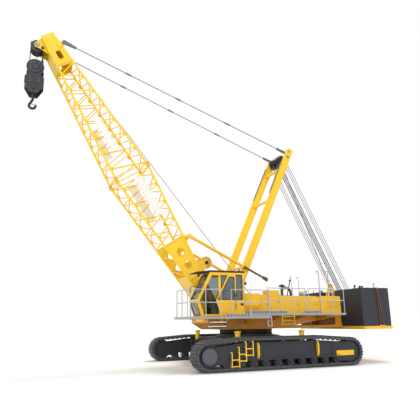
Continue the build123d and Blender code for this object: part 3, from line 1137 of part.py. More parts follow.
# ================================================================ pendants from the mast head to the boom head
with BuildPart() as pendants:
    for hand_sign in (1, -1):
        mast_end = mast_side(hand_sign * STAY_MAST_Y).from_local_coords(Vector(*STAY_MAST_PIN, 0))
        boom_end = boom_side(hand_sign * STAY_Y).from_local_coords(Vector(*STAY_PIN, 0))
        flat_run = Vector(boom_end.X - mast_end.X, 0, boom_end.Z - mast_end.Z).normalized()
        boom_end += flat_run * STAY_SLACK[0] + Vector(-flat_run.Z, 0, flat_run.X) * STAY_SLACK[1]
        span = (boom_end - mast_end).length
        # Each link lies flat beside its pin; the rope between them runs slightly inwards.
        links = [(mast_end, 1, STAY_PIN_RADIUS + PIN_PLAY), (boom_end, -1, STAY_PIN_RADIUS + STAY_LOOSE)]
        for end, sense, bore in links:
            with BuildSketch(Plane(end + Vector(0, STAY_EYE_WIDTH / 2, 0), x_dir=flat_run * sense, z_dir=(0, -1, 0))):
                Circle(bore + HOLE_RIM)
                Polygon((0, -bore - HOLE_RIM), (STAY_LINK, -STAY_LINK_DEPTH / 2), (STAY_LINK, STAY_LINK_DEPTH / 2),
                        (0, bore + HOLE_RIM), align=None)
                Circle(bore, mode=Mode.SUBTRACT)
            extrude(amount=STAY_EYE_WIDTH)
        start, end = mast_end + flat_run * (STAY_LINK - HOLE_RIM), boom_end - flat_run * (STAY_LINK - HOLE_RIM)
        run = (end - start).normalized()
        with BuildSketch(Plane(start, z_dir=run)):
            Circle(STAY_ROPE_RADIUS)
        extrude(amount=(end - start).length)
        for share in STAY_COUPLINGS:
            with BuildSketch(Plane(start + (end - start) * share, z_dir=run)):
                Circle(2 * STAY_ROPE_RADIUS)
            extrude(amount=STAY_LINK / 4, both=True)
pendants.part.label = "pendants"
export_step(pendants.part, "parts/pendants.step")

# ================================================================ backstops
with BuildPart() as backstops:
    shaft = boom_side(0).from_local_coords(Vector(*STOP_SHAFT, 0))
    run = Vector(cos(radians(STOP_ANGLE)), 0, sin(radians(STOP_ANGLE)))
    for y in (STOP_Y, -STOP_Y):
        with BuildSketch(Plane((shaft.X, y + STOP_EYE_WIDTH / 2, shaft.Z), x_dir=run, z_dir=(0, -1, 0))):
            Circle(STOP_SHAFT_RADIUS + PIN_PLAY + HOLE_RIM)
            Polygon((0, -STOP_TUBE_RADIUS), (3 * STOP_TUBE_RADIUS, -STOP_TUBE_RADIUS),
                    (3 * STOP_TUBE_RADIUS, STOP_TUBE_RADIUS), (0, STOP_TUBE_RADIUS), align=None)
            Circle(STOP_SHAFT_RADIUS + PIN_PLAY, mode=Mode.SUBTRACT)
        extrude(amount=STOP_EYE_WIDTH)
        for start, end, radius in ((2 * STOP_TUBE_RADIUS, STOP_TUBE, STOP_TUBE_RADIUS),
                                   (STOP_TUBE - HOLE_RIM, STOP_REACH, STOP_ROD_RADIUS)):
            with BuildSketch(Plane(Vector(shaft.X, y, shaft.Z) + run * start, z_dir=run)):
                Circle(radius)
            extrude(amount=end - start)
backstops.part.label = "backstops"
export_step(backstops.part, "parts/backstops.step")

# ================================================================ hook block
block_axle = head_axle - Vector(0, 0, BLOCK_DROP)
crosshead_length, crosshead_height, crosshead_drop = CROSSHEAD
crosshead_z = block_axle.Z + BLOCK_LOWER[2][1] - crosshead_drop
with BuildPart() as block:
    for hand_sign in (1, -1):
        near, far = sorted((hand_sign * BLOCK_CHEEK, hand_sign * (BLOCK_CHEEK + BLOCK_CHEEK_THICK)))
        with BuildSketch(Plane((block_axle.X, far, block_axle.Z), x_dir=(1, 0, 0), z_dir=(0, -1, 0))):
            Circle(BLOCK_LOBE_RADIUS)
            Polygon((0, 0), *BLOCK_LOWER, *[(-x, z) for x, z in reversed(BLOCK_LOWER)], align=None)
        extrude(amount=BLOCK_CHEEK_THICK)
    with Locations(Location(block_axle) * Rot(90, 0, 0)):
        Cylinder(BLOCK_AXLE_RADIUS, 2 * BLOCK_CHEEK)
    # Crosshead that carries the hook's swivel
    with Locations(Pos(block_axle.X, 0, crosshead_z)):
        Box(crosshead_length, 2 * BLOCK_CHEEK, crosshead_height)
        Cylinder(SHANK_RADIUS + PIN_PLAY, crosshead_height, mode=Mode.SUBTRACT)
block.part.label = "hook_block"
export_step(block.part, "parts/hook_block.step")

block_row = sheave_row(Plane(block_axle, x_dir=(1, 0, 0), z_dir=(0, -1, 0)), SHEAVE_LANES, BLOCK_SHEAVE_RADIUS,
                       SHEAVE_ROPE_RADIUS, BLOCK_AXLE_RADIUS + PIN_PLAY)
with BuildPart() as block_sheaves:
    add(block_row)
block_sheaves.part.label = "block_sheaves"
export_step(block_sheaves.part, "parts/block_sheaves.step")

with BuildPart() as falls:
    for lane in SHEAVE_LANES:
        for rope_sign in (1, -1):
            fall_x = block_axle.X + rope_sign * (SHEAVE_ROPE_RADIUS + SEAT + ROPE_RADIUS)
            with Locations(Pos(fall_x, lane, block_axle.Z)):
                Cylinder(ROPE_RADIUS, BLOCK_DROP, align=(Align.CENTER, Align.CENTER, Align.MIN))
falls.part.label = "falls"
export_step(falls.part, "parts/falls.step")

with BuildPart() as hook:
    swivel_z = crosshead_z + crosshead_height / 2 + SEAT
    bowl = Vector(block_axle.X, 0, block_axle.Z - BOWL_DROP)
    neck_z = bowl.Z + NECK_RISE
    with Locations(Pos(block_axle.X, 0, neck_z)):
        Sphere(SHANK_RADIUS)
        Cylinder(SHANK_RADIUS, swivel_z - neck_z, align=(Align.CENTER, Align.CENTER, Align.MIN))
    with Locations(Pos(block_axle.X, 0, swivel_z)):
        Cylinder(SWIVEL_RADIUS, SWIVEL_HEIGHT, align=(Align.CENTER, Align.CENTER, Align.MIN))
    start_point, low_point, end_point = [bowl + Vector(cos(radians(angle)), 0, sin(radians(angle))) * BOWL_RADIUS
                                         for angle in BOWL_ARC]
    with BuildLine() as bowl_line:
        ThreePointArc(start_point, low_point, end_point)
    with BuildSketch(Plane(start_point, z_dir=bowl_line.line % 0)):
        Circle(HOOK_BODY_RADIUS)
    sweep(path=bowl_line.line)
    neck = start_point - Vector(block_axle.X, 0, neck_z)
    with BuildSketch(Plane(Vector(block_axle.X, 0, neck_z), z_dir=neck)):
        Circle(HOOK_BODY_RADIUS)
    extrude(amount=neck.length)
    with Locations(Pos(start_point)):
        Sphere(HOOK_BODY_RADIUS)
    tip_plane = Plane(end_point, z_dir=bowl_line.line % 1)
    with BuildSketch(tip_plane):
        Circle(HOOK_BODY_RADIUS)
    with BuildSketch(tip_plane.offset(HOOK_TIP_LENGTH)):
        Circle(HOOK_TIP_RADIUS)
    loft()
hook.part.label = "hook"
export_step(hook.part, "parts/hook.step")
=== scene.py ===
"""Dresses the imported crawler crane: finishes on every node, small fittings, rigging, floor, light and camera."""

import json
import logging
import math
from dataclasses import dataclass, field
from enum import Enum
from typing import ClassVar, Iterable, Iterator, Sequence

import bmesh
import bpy
from mathutils import Matrix, Vector

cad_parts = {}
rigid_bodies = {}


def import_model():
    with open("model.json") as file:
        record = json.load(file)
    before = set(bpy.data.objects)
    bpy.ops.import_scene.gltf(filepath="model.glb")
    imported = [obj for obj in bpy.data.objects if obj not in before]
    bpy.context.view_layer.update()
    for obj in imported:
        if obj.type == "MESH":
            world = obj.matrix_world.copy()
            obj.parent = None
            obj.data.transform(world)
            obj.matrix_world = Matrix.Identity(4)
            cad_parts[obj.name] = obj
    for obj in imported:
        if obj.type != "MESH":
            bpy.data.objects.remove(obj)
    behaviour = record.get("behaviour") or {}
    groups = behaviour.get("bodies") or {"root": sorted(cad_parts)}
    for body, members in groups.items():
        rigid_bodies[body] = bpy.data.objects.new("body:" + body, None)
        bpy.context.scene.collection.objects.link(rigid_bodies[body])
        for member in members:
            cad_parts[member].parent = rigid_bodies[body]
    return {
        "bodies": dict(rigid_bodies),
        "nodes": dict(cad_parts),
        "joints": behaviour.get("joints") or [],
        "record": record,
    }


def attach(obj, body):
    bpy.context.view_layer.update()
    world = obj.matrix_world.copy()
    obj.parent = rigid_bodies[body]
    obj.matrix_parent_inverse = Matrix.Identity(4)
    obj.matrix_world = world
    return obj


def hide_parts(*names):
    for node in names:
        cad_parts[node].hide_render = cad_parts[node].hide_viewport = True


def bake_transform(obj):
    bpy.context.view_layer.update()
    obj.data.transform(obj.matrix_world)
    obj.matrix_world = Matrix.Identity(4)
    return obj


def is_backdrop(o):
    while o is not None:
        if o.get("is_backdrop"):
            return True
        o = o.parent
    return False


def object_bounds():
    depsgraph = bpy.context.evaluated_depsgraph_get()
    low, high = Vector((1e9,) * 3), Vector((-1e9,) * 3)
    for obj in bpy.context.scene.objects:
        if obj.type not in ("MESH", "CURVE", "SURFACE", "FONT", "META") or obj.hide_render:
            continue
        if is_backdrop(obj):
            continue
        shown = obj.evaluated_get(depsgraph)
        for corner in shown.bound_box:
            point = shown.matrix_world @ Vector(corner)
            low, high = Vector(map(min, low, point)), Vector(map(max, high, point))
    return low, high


LOG = logging.getLogger("crane")
MM = 0.001
UP = (0, 0, 1)
OUT = (0, 1, 0)          # to the left, or away from the middle on a mirrored side
AHEAD = (1, 0, 0)
SHARP_ANGLE = math.radians(32)
Point = Sequence[float]
Socket = bpy.types.NodeSocket


# ---------------------------------------------------------------- finishes

def linear(hex_colour: str) -> tuple[float, float, float, float]:
    """Turns an sRGB hex colour to linear RGBA.

    Args:
        hex_colour: six hex digits after a hash.

    Returns:
        Linear red, green and blue, with alpha 1.
    """
    parts = [int(hex_colour[i:i + 2], 16) / 255 for i in (1, 3, 5)]
    red, green, blue = [c / 12.92 if c <= 0.04045 else ((c + 0.055) / 1.055) ** 2.4 for c in parts]
    return red, green, blue, 1.0


def grey(value: float) -> tuple[float, float, float, float]:
    """Grey of a linear value."""
    return value, value, value, 1.0


class Surface:
    """The nodes of one material while they are put together."""

    def __init__(self, tree: bpy.types.NodeTree, constants: dict) -> None:
        """Clears the tree and adds the shader.

        Args:
            tree: the material's node tree.
            constants: values for the shader's own sockets.
        """
        tree.nodes.clear()
        self.tree = tree
        self.shader = self.node("BsdfPrincipled", constants)
        self.node("OutputMaterial", links={"Surface": self.shader.outputs[0]})
        self.where = self.node("TexCoord").outputs["Object"]

    def node(self, kind: str, settings: dict | None = None, links: dict | None = None) -> bpy.types.Node:
        """Adds one node.

        Args:
            kind: the node's type name without the ShaderNode prefix.
            settings: property or input name to value.
            links: input name or index to the output socket that feeds it.

        Returns:
            The new node.
        """
        node = self.tree.nodes.new("ShaderNode" + kind)
        for name, value in (settings or {}).items():
            if hasattr(node, name):
                setattr(node, name, value)
            else:
                node.inputs[name].default_value = value
        for name, output in (links or {}).items():
            self.tree.links.new(output, node.inputs[name])
        return node

    def noise(self, size_mm: float, detail: float = 4.0, stretch: Point = (1, 1, 1)) -> Socket:
        """Noise from 0 to 1 whose spots have a real size.

        Args:
            size_mm: width of a spot.
            detail: octaves.
            stretch: how much finer the noise is along each axis.

        Returns:
            The noise value.
        """
        where = self.node("Mapping", {"Scale": tuple(stretch)}, {"Vector": self.where}).outputs["Vector"]
        spots = {"Scale": 1000 / size_mm, "Detail": detail, "Roughness": 0.55}
        return self.node("TexNoise", spots, {"Vector": where}).outputs["Fac"]

    def waves(self, scale_mm: float, turn: Point | None = None, **settings: object) -> Socket:
        """Bands of a real width.

        Args:
            scale_mm: about three bands fall on this length.
            turn: turns the bands, in radians about each axis.
            settings: the wave node's own.

        Returns:
            The wave value, 0 to 1.
        """
        where = self.where
        if turn is not None:
            where = self.node("Mapping", {"Rotation": turn}, {"Vector": where}).outputs["Vector"]
        return self.node("TexWave", {"Scale": 1000 / scale_mm, **settings}, {"Vector": where}).outputs["Fac"]

    def edges(self) -> Socket:
        """How far the surface stands out: over a half on edges."""
        return self.node("NewGeometry").outputs["Pointiness"]

    def times(self, first: Socket, second: Socket) -> Socket:
        """Product of two values."""
        return self.node("Math", {"operation": "MULTIPLY"}, {0: first, 1: second}).outputs[0]

    def mask(self, value: Socket, low: float, high: float, share: float) -> Socket:
        """Ramp that is nothing up to one value and a share from another.

        Args:
            value: what drives the ramp.
            low: where it starts.
            high: where it is full.
            share: how much it is then.

        Returns:
            The ramp's output.
        """
        ramp = self.node("ValToRGB", links={"Fac": value})
        for element, position, level in zip(ramp.color_ramp.elements, (low, high), (0, share)):
            element.position = position
            element.color = grey(level)
        return ramp.outputs["Color"]

    def mix(self, share: Socket, first: object, second: str) -> Socket:
        """Mixes two colours.

        Args:
            share: share of the second colour.
            first: hex colour or socket.
            second: hex colour.

        Returns:
            The mixed colour.
        """
        mix = self.node("Mix", {"data_type": "RGBA", "blend_type": "MIX"}, {0: share})
        if isinstance(first, str):
            mix.inputs[6].default_value = linear(first)
        else:
            self.tree.links.new(first, mix.inputs[6])
        mix.inputs[7].default_value = linear(second)
        return mix.outputs[2]

    def colour(self, value: Socket) -> None:
        """Feeds the shader's colour."""
        self.tree.links.new(value, self.shader.inputs["Base Color"])

    def gloss(self, value: Socket, low: float, high: float) -> None:
        """Feeds the shader's roughness, from low to high as the value goes from 0 to 1."""
        graded = self.node("MapRange", {"To Min": low, "To Max": high}, {"Value": value}).outputs["Result"]
        self.tree.links.new(graded, self.shader.inputs["Roughness"])

    def relief(self, *layers: tuple[Socket, float, float]) -> None:
        """Feeds the shader's normal with bumps, the lowest first.

        Args:
            layers: height, its depth in millimetres and the share of it that shows.
        """
        normal = None
        for height, depth_mm, strength in layers:
            links = {"Height": height} if normal is None else {"Height": height, "Normal": normal}
            bump = self.node("Bump", {"Strength": strength, "Distance": depth_mm * MM}, links)
            normal = bump.outputs["Normal"]
        self.tree.links.new(normal, self.shader.inputs["Normal"])


@dataclass(frozen=True)
class Finish:
    """A surface: what it is made of and how it answers light."""

    name: str
    slot: str
    colour: str
    roughness: float = 0.4
    metallic: float = 0.0
    ior: float = 1.5

    def constants(self) -> dict:
        """Values on the shader's own sockets."""
        values = {"Base Color": linear(self.colour), "Roughness": self.roughness, "Metallic": self.metallic}
        return values if self.metallic >= 0.5 else {**values, "IOR": self.ior}

    def pattern(self, surface: Surface) -> None:
        """Adds what makes the surface more than one flat colour."""

    def material(self) -> bpy.types.Material:
        """The finish's material, made once.

        Returns:
            The material by the finish's name.
        """
        made = bpy.data.materials.get(self.name)
        if made is None:
            made = bpy.data.materials.new(self.name)
            made.use_nodes = True
            self.pattern(Surface(made.node_tree, self.constants()))
            made.diffuse_color = linear(self.colour)
        return made


@dataclass(frozen=True)
class MachineEnamel(Finish):
    """Sprayed enamel, or a zinc or oxide coat, on welded plate: faint orange peel, rubbed edges, dust in patches."""

    dust: str = "#B9A98A"
    dustiness: float = 0.25
    chipped: str = "#5A4A3A"

    def pattern(self, surface: Surface) -> None:
        """Dust film in half-metre patches, rain streaks down the plate, rubbed edges and orange peel."""
        patches = surface.noise(700)
        streaks = surface.noise(90, 3.0, (1, 1, 0.06))      # rain runs down the plate in bands 90 mm wide
        dusty = surface.mix(surface.mask(patches, 0.45, 0.8, self.dustiness), self.colour, self.dust)
        streaked = surface.mix(surface.mask(streaks, 0.5, 0.85, self.dustiness * 0.7), dusty, self.chipped)
        worn = surface.times(surface.mask(surface.edges(), 0.54, 0.62, 0.5), surface.noise(35, 5.0))
        surface.colour(surface.mix(worn, streaked, self.chipped))
        surface.gloss(patches, self.roughness - 0.06, self.roughness + 0.18)
        dents = surface.noise(450, 2.0)                     # plate pulled a little by its welds
        peel = surface.noise(6, 2.0)                        # orange peel, drawn coarser than its real 2 mm
        surface.relief((dents, 6, 0.35), (peel, 0.3, 0.25))


@dataclass(frozen=True)
class CastSteel(Finish):
    """Cast manganese steel, rolled on and packed with dried soil: rough, with bright rubbed high spots."""

    soil: str = "#35302B"
    bright: str = "#5A5B60"

    def pattern(self, surface: Surface) -> None:
        """Soil in hollows, rubbed metal on edges, and a sand-cast skin."""
        patches = surface.noise(160)
        soiled = surface.mix(surface.mask(patches, 0.5, 0.72, 0.6), self.colour, self.soil)
        surface.colour(surface.mix(surface.mask(surface.edges(), 0.53, 0.6, 0.55), soiled, self.bright))
        surface.gloss(patches, self.roughness - 0.15, self.roughness + 0.15)
        surface.relief((surface.noise(14, 5.0), 1.5, 0.5))  # sand-cast grain, drawn coarser than its real 1 mm


@dataclass(frozen=True)
class MachinedSteel(Finish):
    """Turned or ground bare steel with a thin film of grease: fine rings and darker smears."""

    grease: str = "#4A4640"

    def pattern(self, surface: Surface) -> None:
        """Turning marks and smears of grease."""
        smear = surface.noise(220)
        surface.colour(surface.mix(surface.mask(smear, 0.45, 0.75, 0.7), self.colour, self.grease))
        surface.relief((surface.noise(30, 2.0, (1, 1, 6)), 0.2, 0.4))
        surface.gloss(smear, self.roughness - 0.1, self.roughness + 0.2)


@dataclass(frozen=True)
class WireRope(Finish):
    """Galvanised steel wire rope, laid in strands: a fine slanting twist, with painted highlights in short bright
    bands.
    """

    lay_mm: float = 90.0
    # bright: colour of the painted highlights on the strands
    bright: str = "#B4B6BA"

    def pattern(self, surface: Surface) -> None:
        """Painted highlights in bands along the strands, and the strands' bump, drawn coarser than their real 8 mm so
        that they show.
        """
        twist = surface.waves(self.lay_mm, (0.5, 0.6, 0.4), Distortion=0.6)
        # The strands' bands are lightened: painted highlight.
        surface.colour(surface.mix(surface.mask(twist, 0.2, 0.8, 0.55), self.colour, self.bright))
        surface.relief((twist, 3, 0.6))


@dataclass(frozen=True)
class TreadPlate(Finish):
    """Galvanised steel tread plate: raised lozenges against slipping, dull zinc between them."""

    lozenge_mm: float = 60.0
    dull: str = "#77756F"
    rubbed: str = "#E4E5E4"

    def pattern(self, surface: Surface) -> None:
        """Crossed bars 38 mm apart, a little coarser than the real ones so that they show."""
        bars = [surface.waves(2 * self.lozenge_mm, (0, 0, math.radians(turn))) for turn in (45, -45)]
        crossing = surface.times(*bars)
        spangle = surface.mix(surface.mask(surface.noise(300), 0.4, 0.7, 0.5), self.colour, self.dull)
        surface.colour(surface.mix(surface.mask(crossing, 0.35, 0.6, 0.4), spangle, self.rubbed))
        surface.relief((crossing, 4, 0.7))


@dataclass(frozen=True)
class SafetyGlass(Finish):
    """Laminated safety glass with a grey tint: clear, dark against a dark inside, a little dusty at the rim."""

    def constants(self) -> dict:
        """Values of a shader that lets light through."""
        return {**super().constants(), "Transmission Weight": 0.82}

    def pattern(self, surface: Surface) -> None:
        """Faint film of dust."""
        surface.gloss(surface.noise(250), self.roughness, self.roughness + 0.07)


@dataclass(frozen=True)
class WovenSeat(Finish):
    """Woven polyester seat cloth: crossed yarns and a soft sheen."""

    yarn_mm: float = 54.0
    bright: str = "#3A3B3F"

    def constants(self) -> dict:
        """Values of a shader with sheen."""
        return {**super().constants(), "Sheen Weight": 0.35}

    def pattern(self, surface: Surface) -> None:
        """Crossed yarns, drawn coarser than the real 1.5 mm."""
        weave = surface.times(*[surface.waves(self.yarn_mm, bands_direction=way) for way in ("X", "Z")])
        surface.colour(surface.mix(weave, self.colour, self.bright))
        surface.relief((weave, 1.0, 0.5))


@dataclass(frozen=True)
class Moulded(Finish):
    """Moulded plastic or rubber: even colour with a fine leather grain and rubbed high spots."""

    grain_mm: float = 5.0
    rubbed: str = "#6A6A6C"

    def pattern(self, surface: Surface) -> None:
        """Leather grain and faint rubbing."""
        grain = surface.node("TexVoronoi", {"Scale": 1000 / self.grain_mm}, {"Vector": surface.where})
        surface.colour(surface.mix(surface.mask(surface.noise(120), 0.55, 0.8, 0.25), self.colour, self.rubbed))
        surface.relief((grain.outputs["Distance"], 0.5, 0.3))


@dataclass(frozen=True)
class LampLens(Finish):
    """Moulded polycarbonate lens: clear and ribbed."""

    rib_mm: float = 72.0

    def constants(self) -> dict:
        """Values of a shader that lets some light through."""
        return {**super().constants(), "Transmission Weight": 0.35}

    def pattern(self, surface: Surface) -> None:
        """Upright ribs, 23 mm apart."""
        surface.relief((surface.waves(self.rib_mm, bands_direction="Y"), 1.5, 0.5))


YELLOW = MachineEnamel("polyurethane_enamel_yellow", "yellow_paint", "#EAB90E", 0.34,
                       dust="#D2B152", dustiness=0.14, chipped="#C08A1E")
LEMON = MachineEnamel("polyurethane_enamel_lemon", "yellow_paint", "#ECC41A", 0.32,
                      dust="#D2B152", dustiness=0.12, chipped="#B98E22")
# House yellow with shade painted in: a darker, more orange copy of the yellow paint that stands for the shade falling
# on the main frame under the deck.
FRAME_YELLOW_PAINTED_SHADE = MachineEnamel("alkyd_enamel_amber", "yellow_paint", "#DC931A", 0.36,
                             dust="#B08A48", dustiness=0.3, chipped="#7A4A18")
ANTHRACITE = MachineEnamel("polyurethane_enamel_anthracite", "black_paint", "#1B1D27", 0.42,
                           dust="#3E3D42", dustiness=0.3, chipped="#15161A")
BALLAST = MachineEnamel("epoxy_enamel_on_ballast", "weight_paint", "#20232F", 0.5,
                        dust="#3D3E46", dustiness=0.2, chipped="#1B1D24")
SIGNAL_GREY = MachineEnamel("polyurethane_enamel_grey", "grey_paint", "#303238", 0.4,
                            dust="#5A574F", dustiness=0.3, chipped="#26272B")
HUB_GREY = MachineEnamel("polyurethane_enamel_slate", "grey_paint", "#4A4F57", 0.4,
                         dust="#6A675F", dustiness=0.2, chipped="#34383E")
PANEL_WHITE = MachineEnamel("enamelled_aluminium_white", "rail_zinc", "#ECEBE6", 0.36,
                            dust="#D3D0C6", dustiness=0.1, chipped="#A9A59A")
RAIL_ZINC = MachineEnamel("hot_dip_zinc_on_tube", "rail_zinc", "#A8AAAC", 0.38,
                          dust="#8F8C85", dustiness=0.3, chipped="#8C8A84")
LIGHT_ALLOY = MachineEnamel("anodised_aluminium_trim", "rail_zinc", "#9C9EA2", 0.35,
                            dust="#86847D", dustiness=0.2, chipped="#7E7C77")
BRICK_RED = MachineEnamel("red_oxide_primer", "yellow_paint", "#74412D", 0.5,
                          dust="#8F6A54", dustiness=0.2, chipped="#5E2E1C")
BROWN_ENAMEL = MachineEnamel("alkyd_enamel_brown", "yellow_paint", "#5C3B22", 0.42,
                             dust="#80603F", dustiness=0.2, chipped="#2E1F14")
TRACK_CAST = CastSteel("cast_manganese_steel", "track_steel", "#141519", 0.5, 0.2)
GREASED_STEEL = MachinedSteel("greased_ring_steel", "bare_steel", "#2B241E", 0.45, 0.6, grease="#17120E")
BRIGHT_STEEL = MachinedSteel("turned_steel", "bare_steel", "#9A9CA0", 0.36, 0.9)
ZINC_BOLT = MachinedSteel("zinc_plated_bolt", "bare_steel", "#8D9094", 0.42, 0.8, grease="#5E5A52")
ROPE = WireRope("galvanised_wire_rope", "rope_steel", "#676C77", 0.42, 0.35)
DARK_ROPE = WireRope("greased_wire_rope", "rope_steel", "#26282D", 0.5, 0.5)
TREAD = TreadPlate("galvanised_tread_plate", "rail_zinc", "#A9ABAC", 0.5, 0.55)
GLASS = SafetyGlass("laminated_glass_grey", "glass", "#9FAAAE", 0.03, ior=1.52)
SEAT_CLOTH = WovenSeat("woven_polyester_charcoal", "seat_fabric", "#1E1F23", 0.85)
ABS_DARK = Moulded("moulded_abs_charcoal", "console_plastic", "#2A2B2E", 0.55, ior=1.46)
RUBBER = Moulded("epdm_rubber_black", "console_plastic", "#141416", 0.75, ior=1.52, rubbed="#3A3A3C")
LENS = LampLens("ribbed_polycarbonate", "rail_zinc", "#DDE2E4", 0.12, ior=1.58)
AMBER_LENS = LampLens("amber_polycarbonate", "yellow_paint", "#E8891C", 0.15, ior=1.58)
FLOOR_FINISH = Finish("pale_floor", "", "#CDCDCC", 0.9)

# Finish of each material slot, and of the nodes that differ from their slot
SLOT_FINISH: dict[str, Finish] = {
    "yellow_paint": YELLOW, "black_paint": ANTHRACITE, "weight_paint": BALLAST, "grey_paint": SIGNAL_GREY,
    "track_steel": TRACK_CAST, "bare_steel": BRIGHT_STEEL, "rope_steel": DARK_ROPE, "rail_zinc": RAIL_ZINC,
    "glass": GLASS, "seat_fabric": SEAT_CLOTH, "console_plastic": ABS_DARK, "tread_plate": TREAD}
# main_frame takes the yellow with painted shade.
NODE_FINISH: dict[str, Finish] = {"slew_bearing": GREASED_STEEL, "ring_gear": GREASED_STEEL,
                                  "main_frame": FRAME_YELLOW_PAINTED_SHADE, "mast": LEMON, "boom_top": LEMON, "boom_base": LEMON}


# ---------------------------------------------------------------- mesh building

class Side(Enum):
    """Left or right side of the machine."""

    LEFT = 1
    RIGHT = -1

    @property
    def tag(self) -> str:
        """Letter that ends a piece's name."""
        return self.name[0].lower()


def turned(radius: float, turn: float) -> tuple[float, float]:
    """A point on a circle, from its angle in radians."""
    return radius * math.cos(turn), radius * math.sin(turn)


def spread(start: float, end: float, count: int, first: float = 0.0) -> list[float]:
    """Values in even steps between two ends.

    Args:
        start: one end.
        end: the other end.
        count: how many steps, with one value in each.
        first: where a value is in its step, 0 to 1.

    Returns:
        The values.
    """
    return [start + (end - start) * (index + first) / count for index in range(count)]


def ring(radius: float, count: int) -> list[tuple[float, float]]:
    """Points evenly round a circle."""
    return [turned(radius, turn) for turn in spread(0, math.tau, count)]


class Piece:
    """Gathers the shapes of one named piece in millimetres, then hands the piece to its body."""

    def __init__(self, name: str, body: str, finish: Finish, frame: Matrix, hand: int = 1,
                 replaces: str = "") -> None:
        """Starts an empty piece.

        Args:
            name: the piece's name.
            body: the body that it moves with.
            finish: its surface.
            frame: from the local millimetres to the scene's metres.
            hand: 1, or -1 where what is added is the mirror image of the left side's.
            replaces: CAD node that it stands for.
        """
        self.name = name
        self.body = body
        self.finish = finish
        self.frame = frame
        self.hand = hand
        self.replaces = replaces
        self.mesh = bmesh.new()

    def real(self, point: Point) -> Vector:
        """The point, mirrored on the right side."""
        return Vector((point[0], point[1] * self.hand, point[2]))

    def place(self, points: Iterable[Point]) -> list[bmesh.types.BMVert]:
        """Adds vertices in local millimetres, as they are."""
        return [self.mesh.verts.new(self.frame @ Vector(point)) for point in points]

    def points(self, points: Iterable[Point]) -> list[bmesh.types.BMVert]:
        """Adds vertices in local millimetres, mirrored on the right side."""
        return self.place([self.real(point) for point in points])

    def circle(self, middle: Vector, across: Vector, other: Vector, radius: float,
               sides: int) -> list[bmesh.types.BMVert]:
        """Adds a ring of vertices.

        Args:
            middle: its centre.
            across: unit direction of its first vertex.
            other: unit direction a quarter turn on.
            radius: its radius.
            sides: how many vertices.

        Returns:
            The vertices.
        """
        return self.place([middle + across * first + other * second for first, second in ring(radius, sides)])

    def skin(self, rings: Sequence[Sequence[bmesh.types.BMVert]], closed: bool = False) -> None:
        """Joins rings of vertices one after another, and caps the ends or joins them too.

        Args:
            rings: each ring's vertices, as many in all of them.
            closed: whether the last joins the first.
        """
        pairs = list(zip(rings[:-1], rings[1:]))
        if closed:
            pairs.append((rings[-1], rings[0]))
        else:
            self.mesh.faces.new(list(reversed(rings[0])))
            self.mesh.faces.new(list(rings[-1]))
        for near, far in pairs:
            for index, vert in enumerate(near):
                after = (index + 1) % len(near)
                self.mesh.faces.new((vert, near[after], far[after], far[index]))

    def block(self, x: Point, y: Point, z: Point, edge: float = 4.0) -> None:
        """Adds a box whose edges are chamfered.

        Args:
            x: both ends along the local x.
            y: both ends along the local y.
            z: both ends along the local z.
            edge: width of the chamfer.
        """
        (x0, x1), (y0, y1), (z0, z1) = sorted(x), sorted(y), sorted(z)
        cut = min(edge, 0.3 * min(x1 - x0, y1 - y0, z1 - z0))
        rings = []
        for level, inset in ((z0, cut), (z0 + cut, 0), (z1 - cut, 0), (z1, cut)):
            near_x, far_x, near_y, far_y = x0 + inset, x1 - inset, y0 + inset, y1 - inset
            corners = ((near_x + cut, near_y), (far_x - cut, near_y), (far_x, near_y + cut), (far_x, far_y - cut),
                       (far_x - cut, far_y), (near_x + cut, far_y), (near_x, far_y - cut), (near_x, near_y + cut))
            rings.append(self.points([(*corner, level) for corner in corners]))
        self.skin(rings)

    def prism(self, outline: Sequence[Point], low: float, high: float, along: str = "y") -> None:
        """Adds a flat outline drawn out along one axis.

        Args:
            outline: points in the other two axes, in their alphabetical order.
            low: start along the axis.
            high: end along the axis.
            along: x, y or z.
        """
        at = "xyz".index(along)
        self.skin([self.points([(*point[:at], level, *point[at:]) for point in outline]) for level in (low, high)])

    def lathe(self, origin: Point, axis: Point, profile: Sequence[tuple[float, float]], sides: int = 24,
              hollow: bool = False) -> None:
        """Turns a profile about an axis.

        Args:
            origin: where the axis starts.
            axis: its direction.
            profile: distance along the axis and radius of each ring.
            sides: how many faces go round.
            hollow: joins the last ring to the first, for rings and tyres.
        """
        start, way = self.real(origin), self.real(axis).normalized()
        across = way.orthogonal().normalized()
        other = way.cross(across)
        self.skin([self.circle(start + way * distance, across, other, radius, sides) for distance, radius in profile],
                  hollow)

    def rod(self, start: Point, end: Point, radius: float, sides: int = 12) -> None:
        """Adds a straight bar with chamfered ends.

        Args:
            start: middle of one end.
            end: middle of the other.
            radius: half the bar's thickness.
            sides: flats round it.
        """
        run = Vector(end) - Vector(start)
        chamfer = min(radius * 0.15, run.length * 0.2)
        self.lathe(start, run, [(0, radius - chamfer), (chamfer, radius), (run.length - chamfer, radius),
                                (run.length, radius - chamfer)], sides)

    def pipe(self, points: Sequence[Point], radius: float, bend: float = 60.0, sides: int = 10) -> None:
        """Adds a round tube along straight runs with curved corners.

        Args:
            points: the corners.
            radius: the tube's radius.
            bend: how far before a corner the curve starts.
            sides: faces round the tube.
        """
        corners = [self.real(point) for point in points]
        route = [corners[0]]
        for before, corner, after in zip(corners[:-2], corners[1:-1], corners[2:]):
            reach = min(bend, (before - corner).length * 0.45, (after - corner).length * 0.45)
            start = corner + (before - corner).normalized() * reach
            end = corner + (after - corner).normalized() * reach
            for share in (0, 0.25, 0.5, 0.75, 1):
                route.append(start.lerp(corner, share).lerp(corner.lerp(end, share), share))
        route.append(corners[-1])
        normal = (route[1] - route[0]).orthogonal().normalized()
        rings = []
        for before, middle, after in zip([route[0], *route], route, [*route[1:], route[-1]]):
            way = (after - before).normalized()
            normal = (normal - way * normal.dot(way)).normalized()
            rings.append(self.circle(middle, normal, way.cross(normal), radius, sides))
        self.skin(rings)

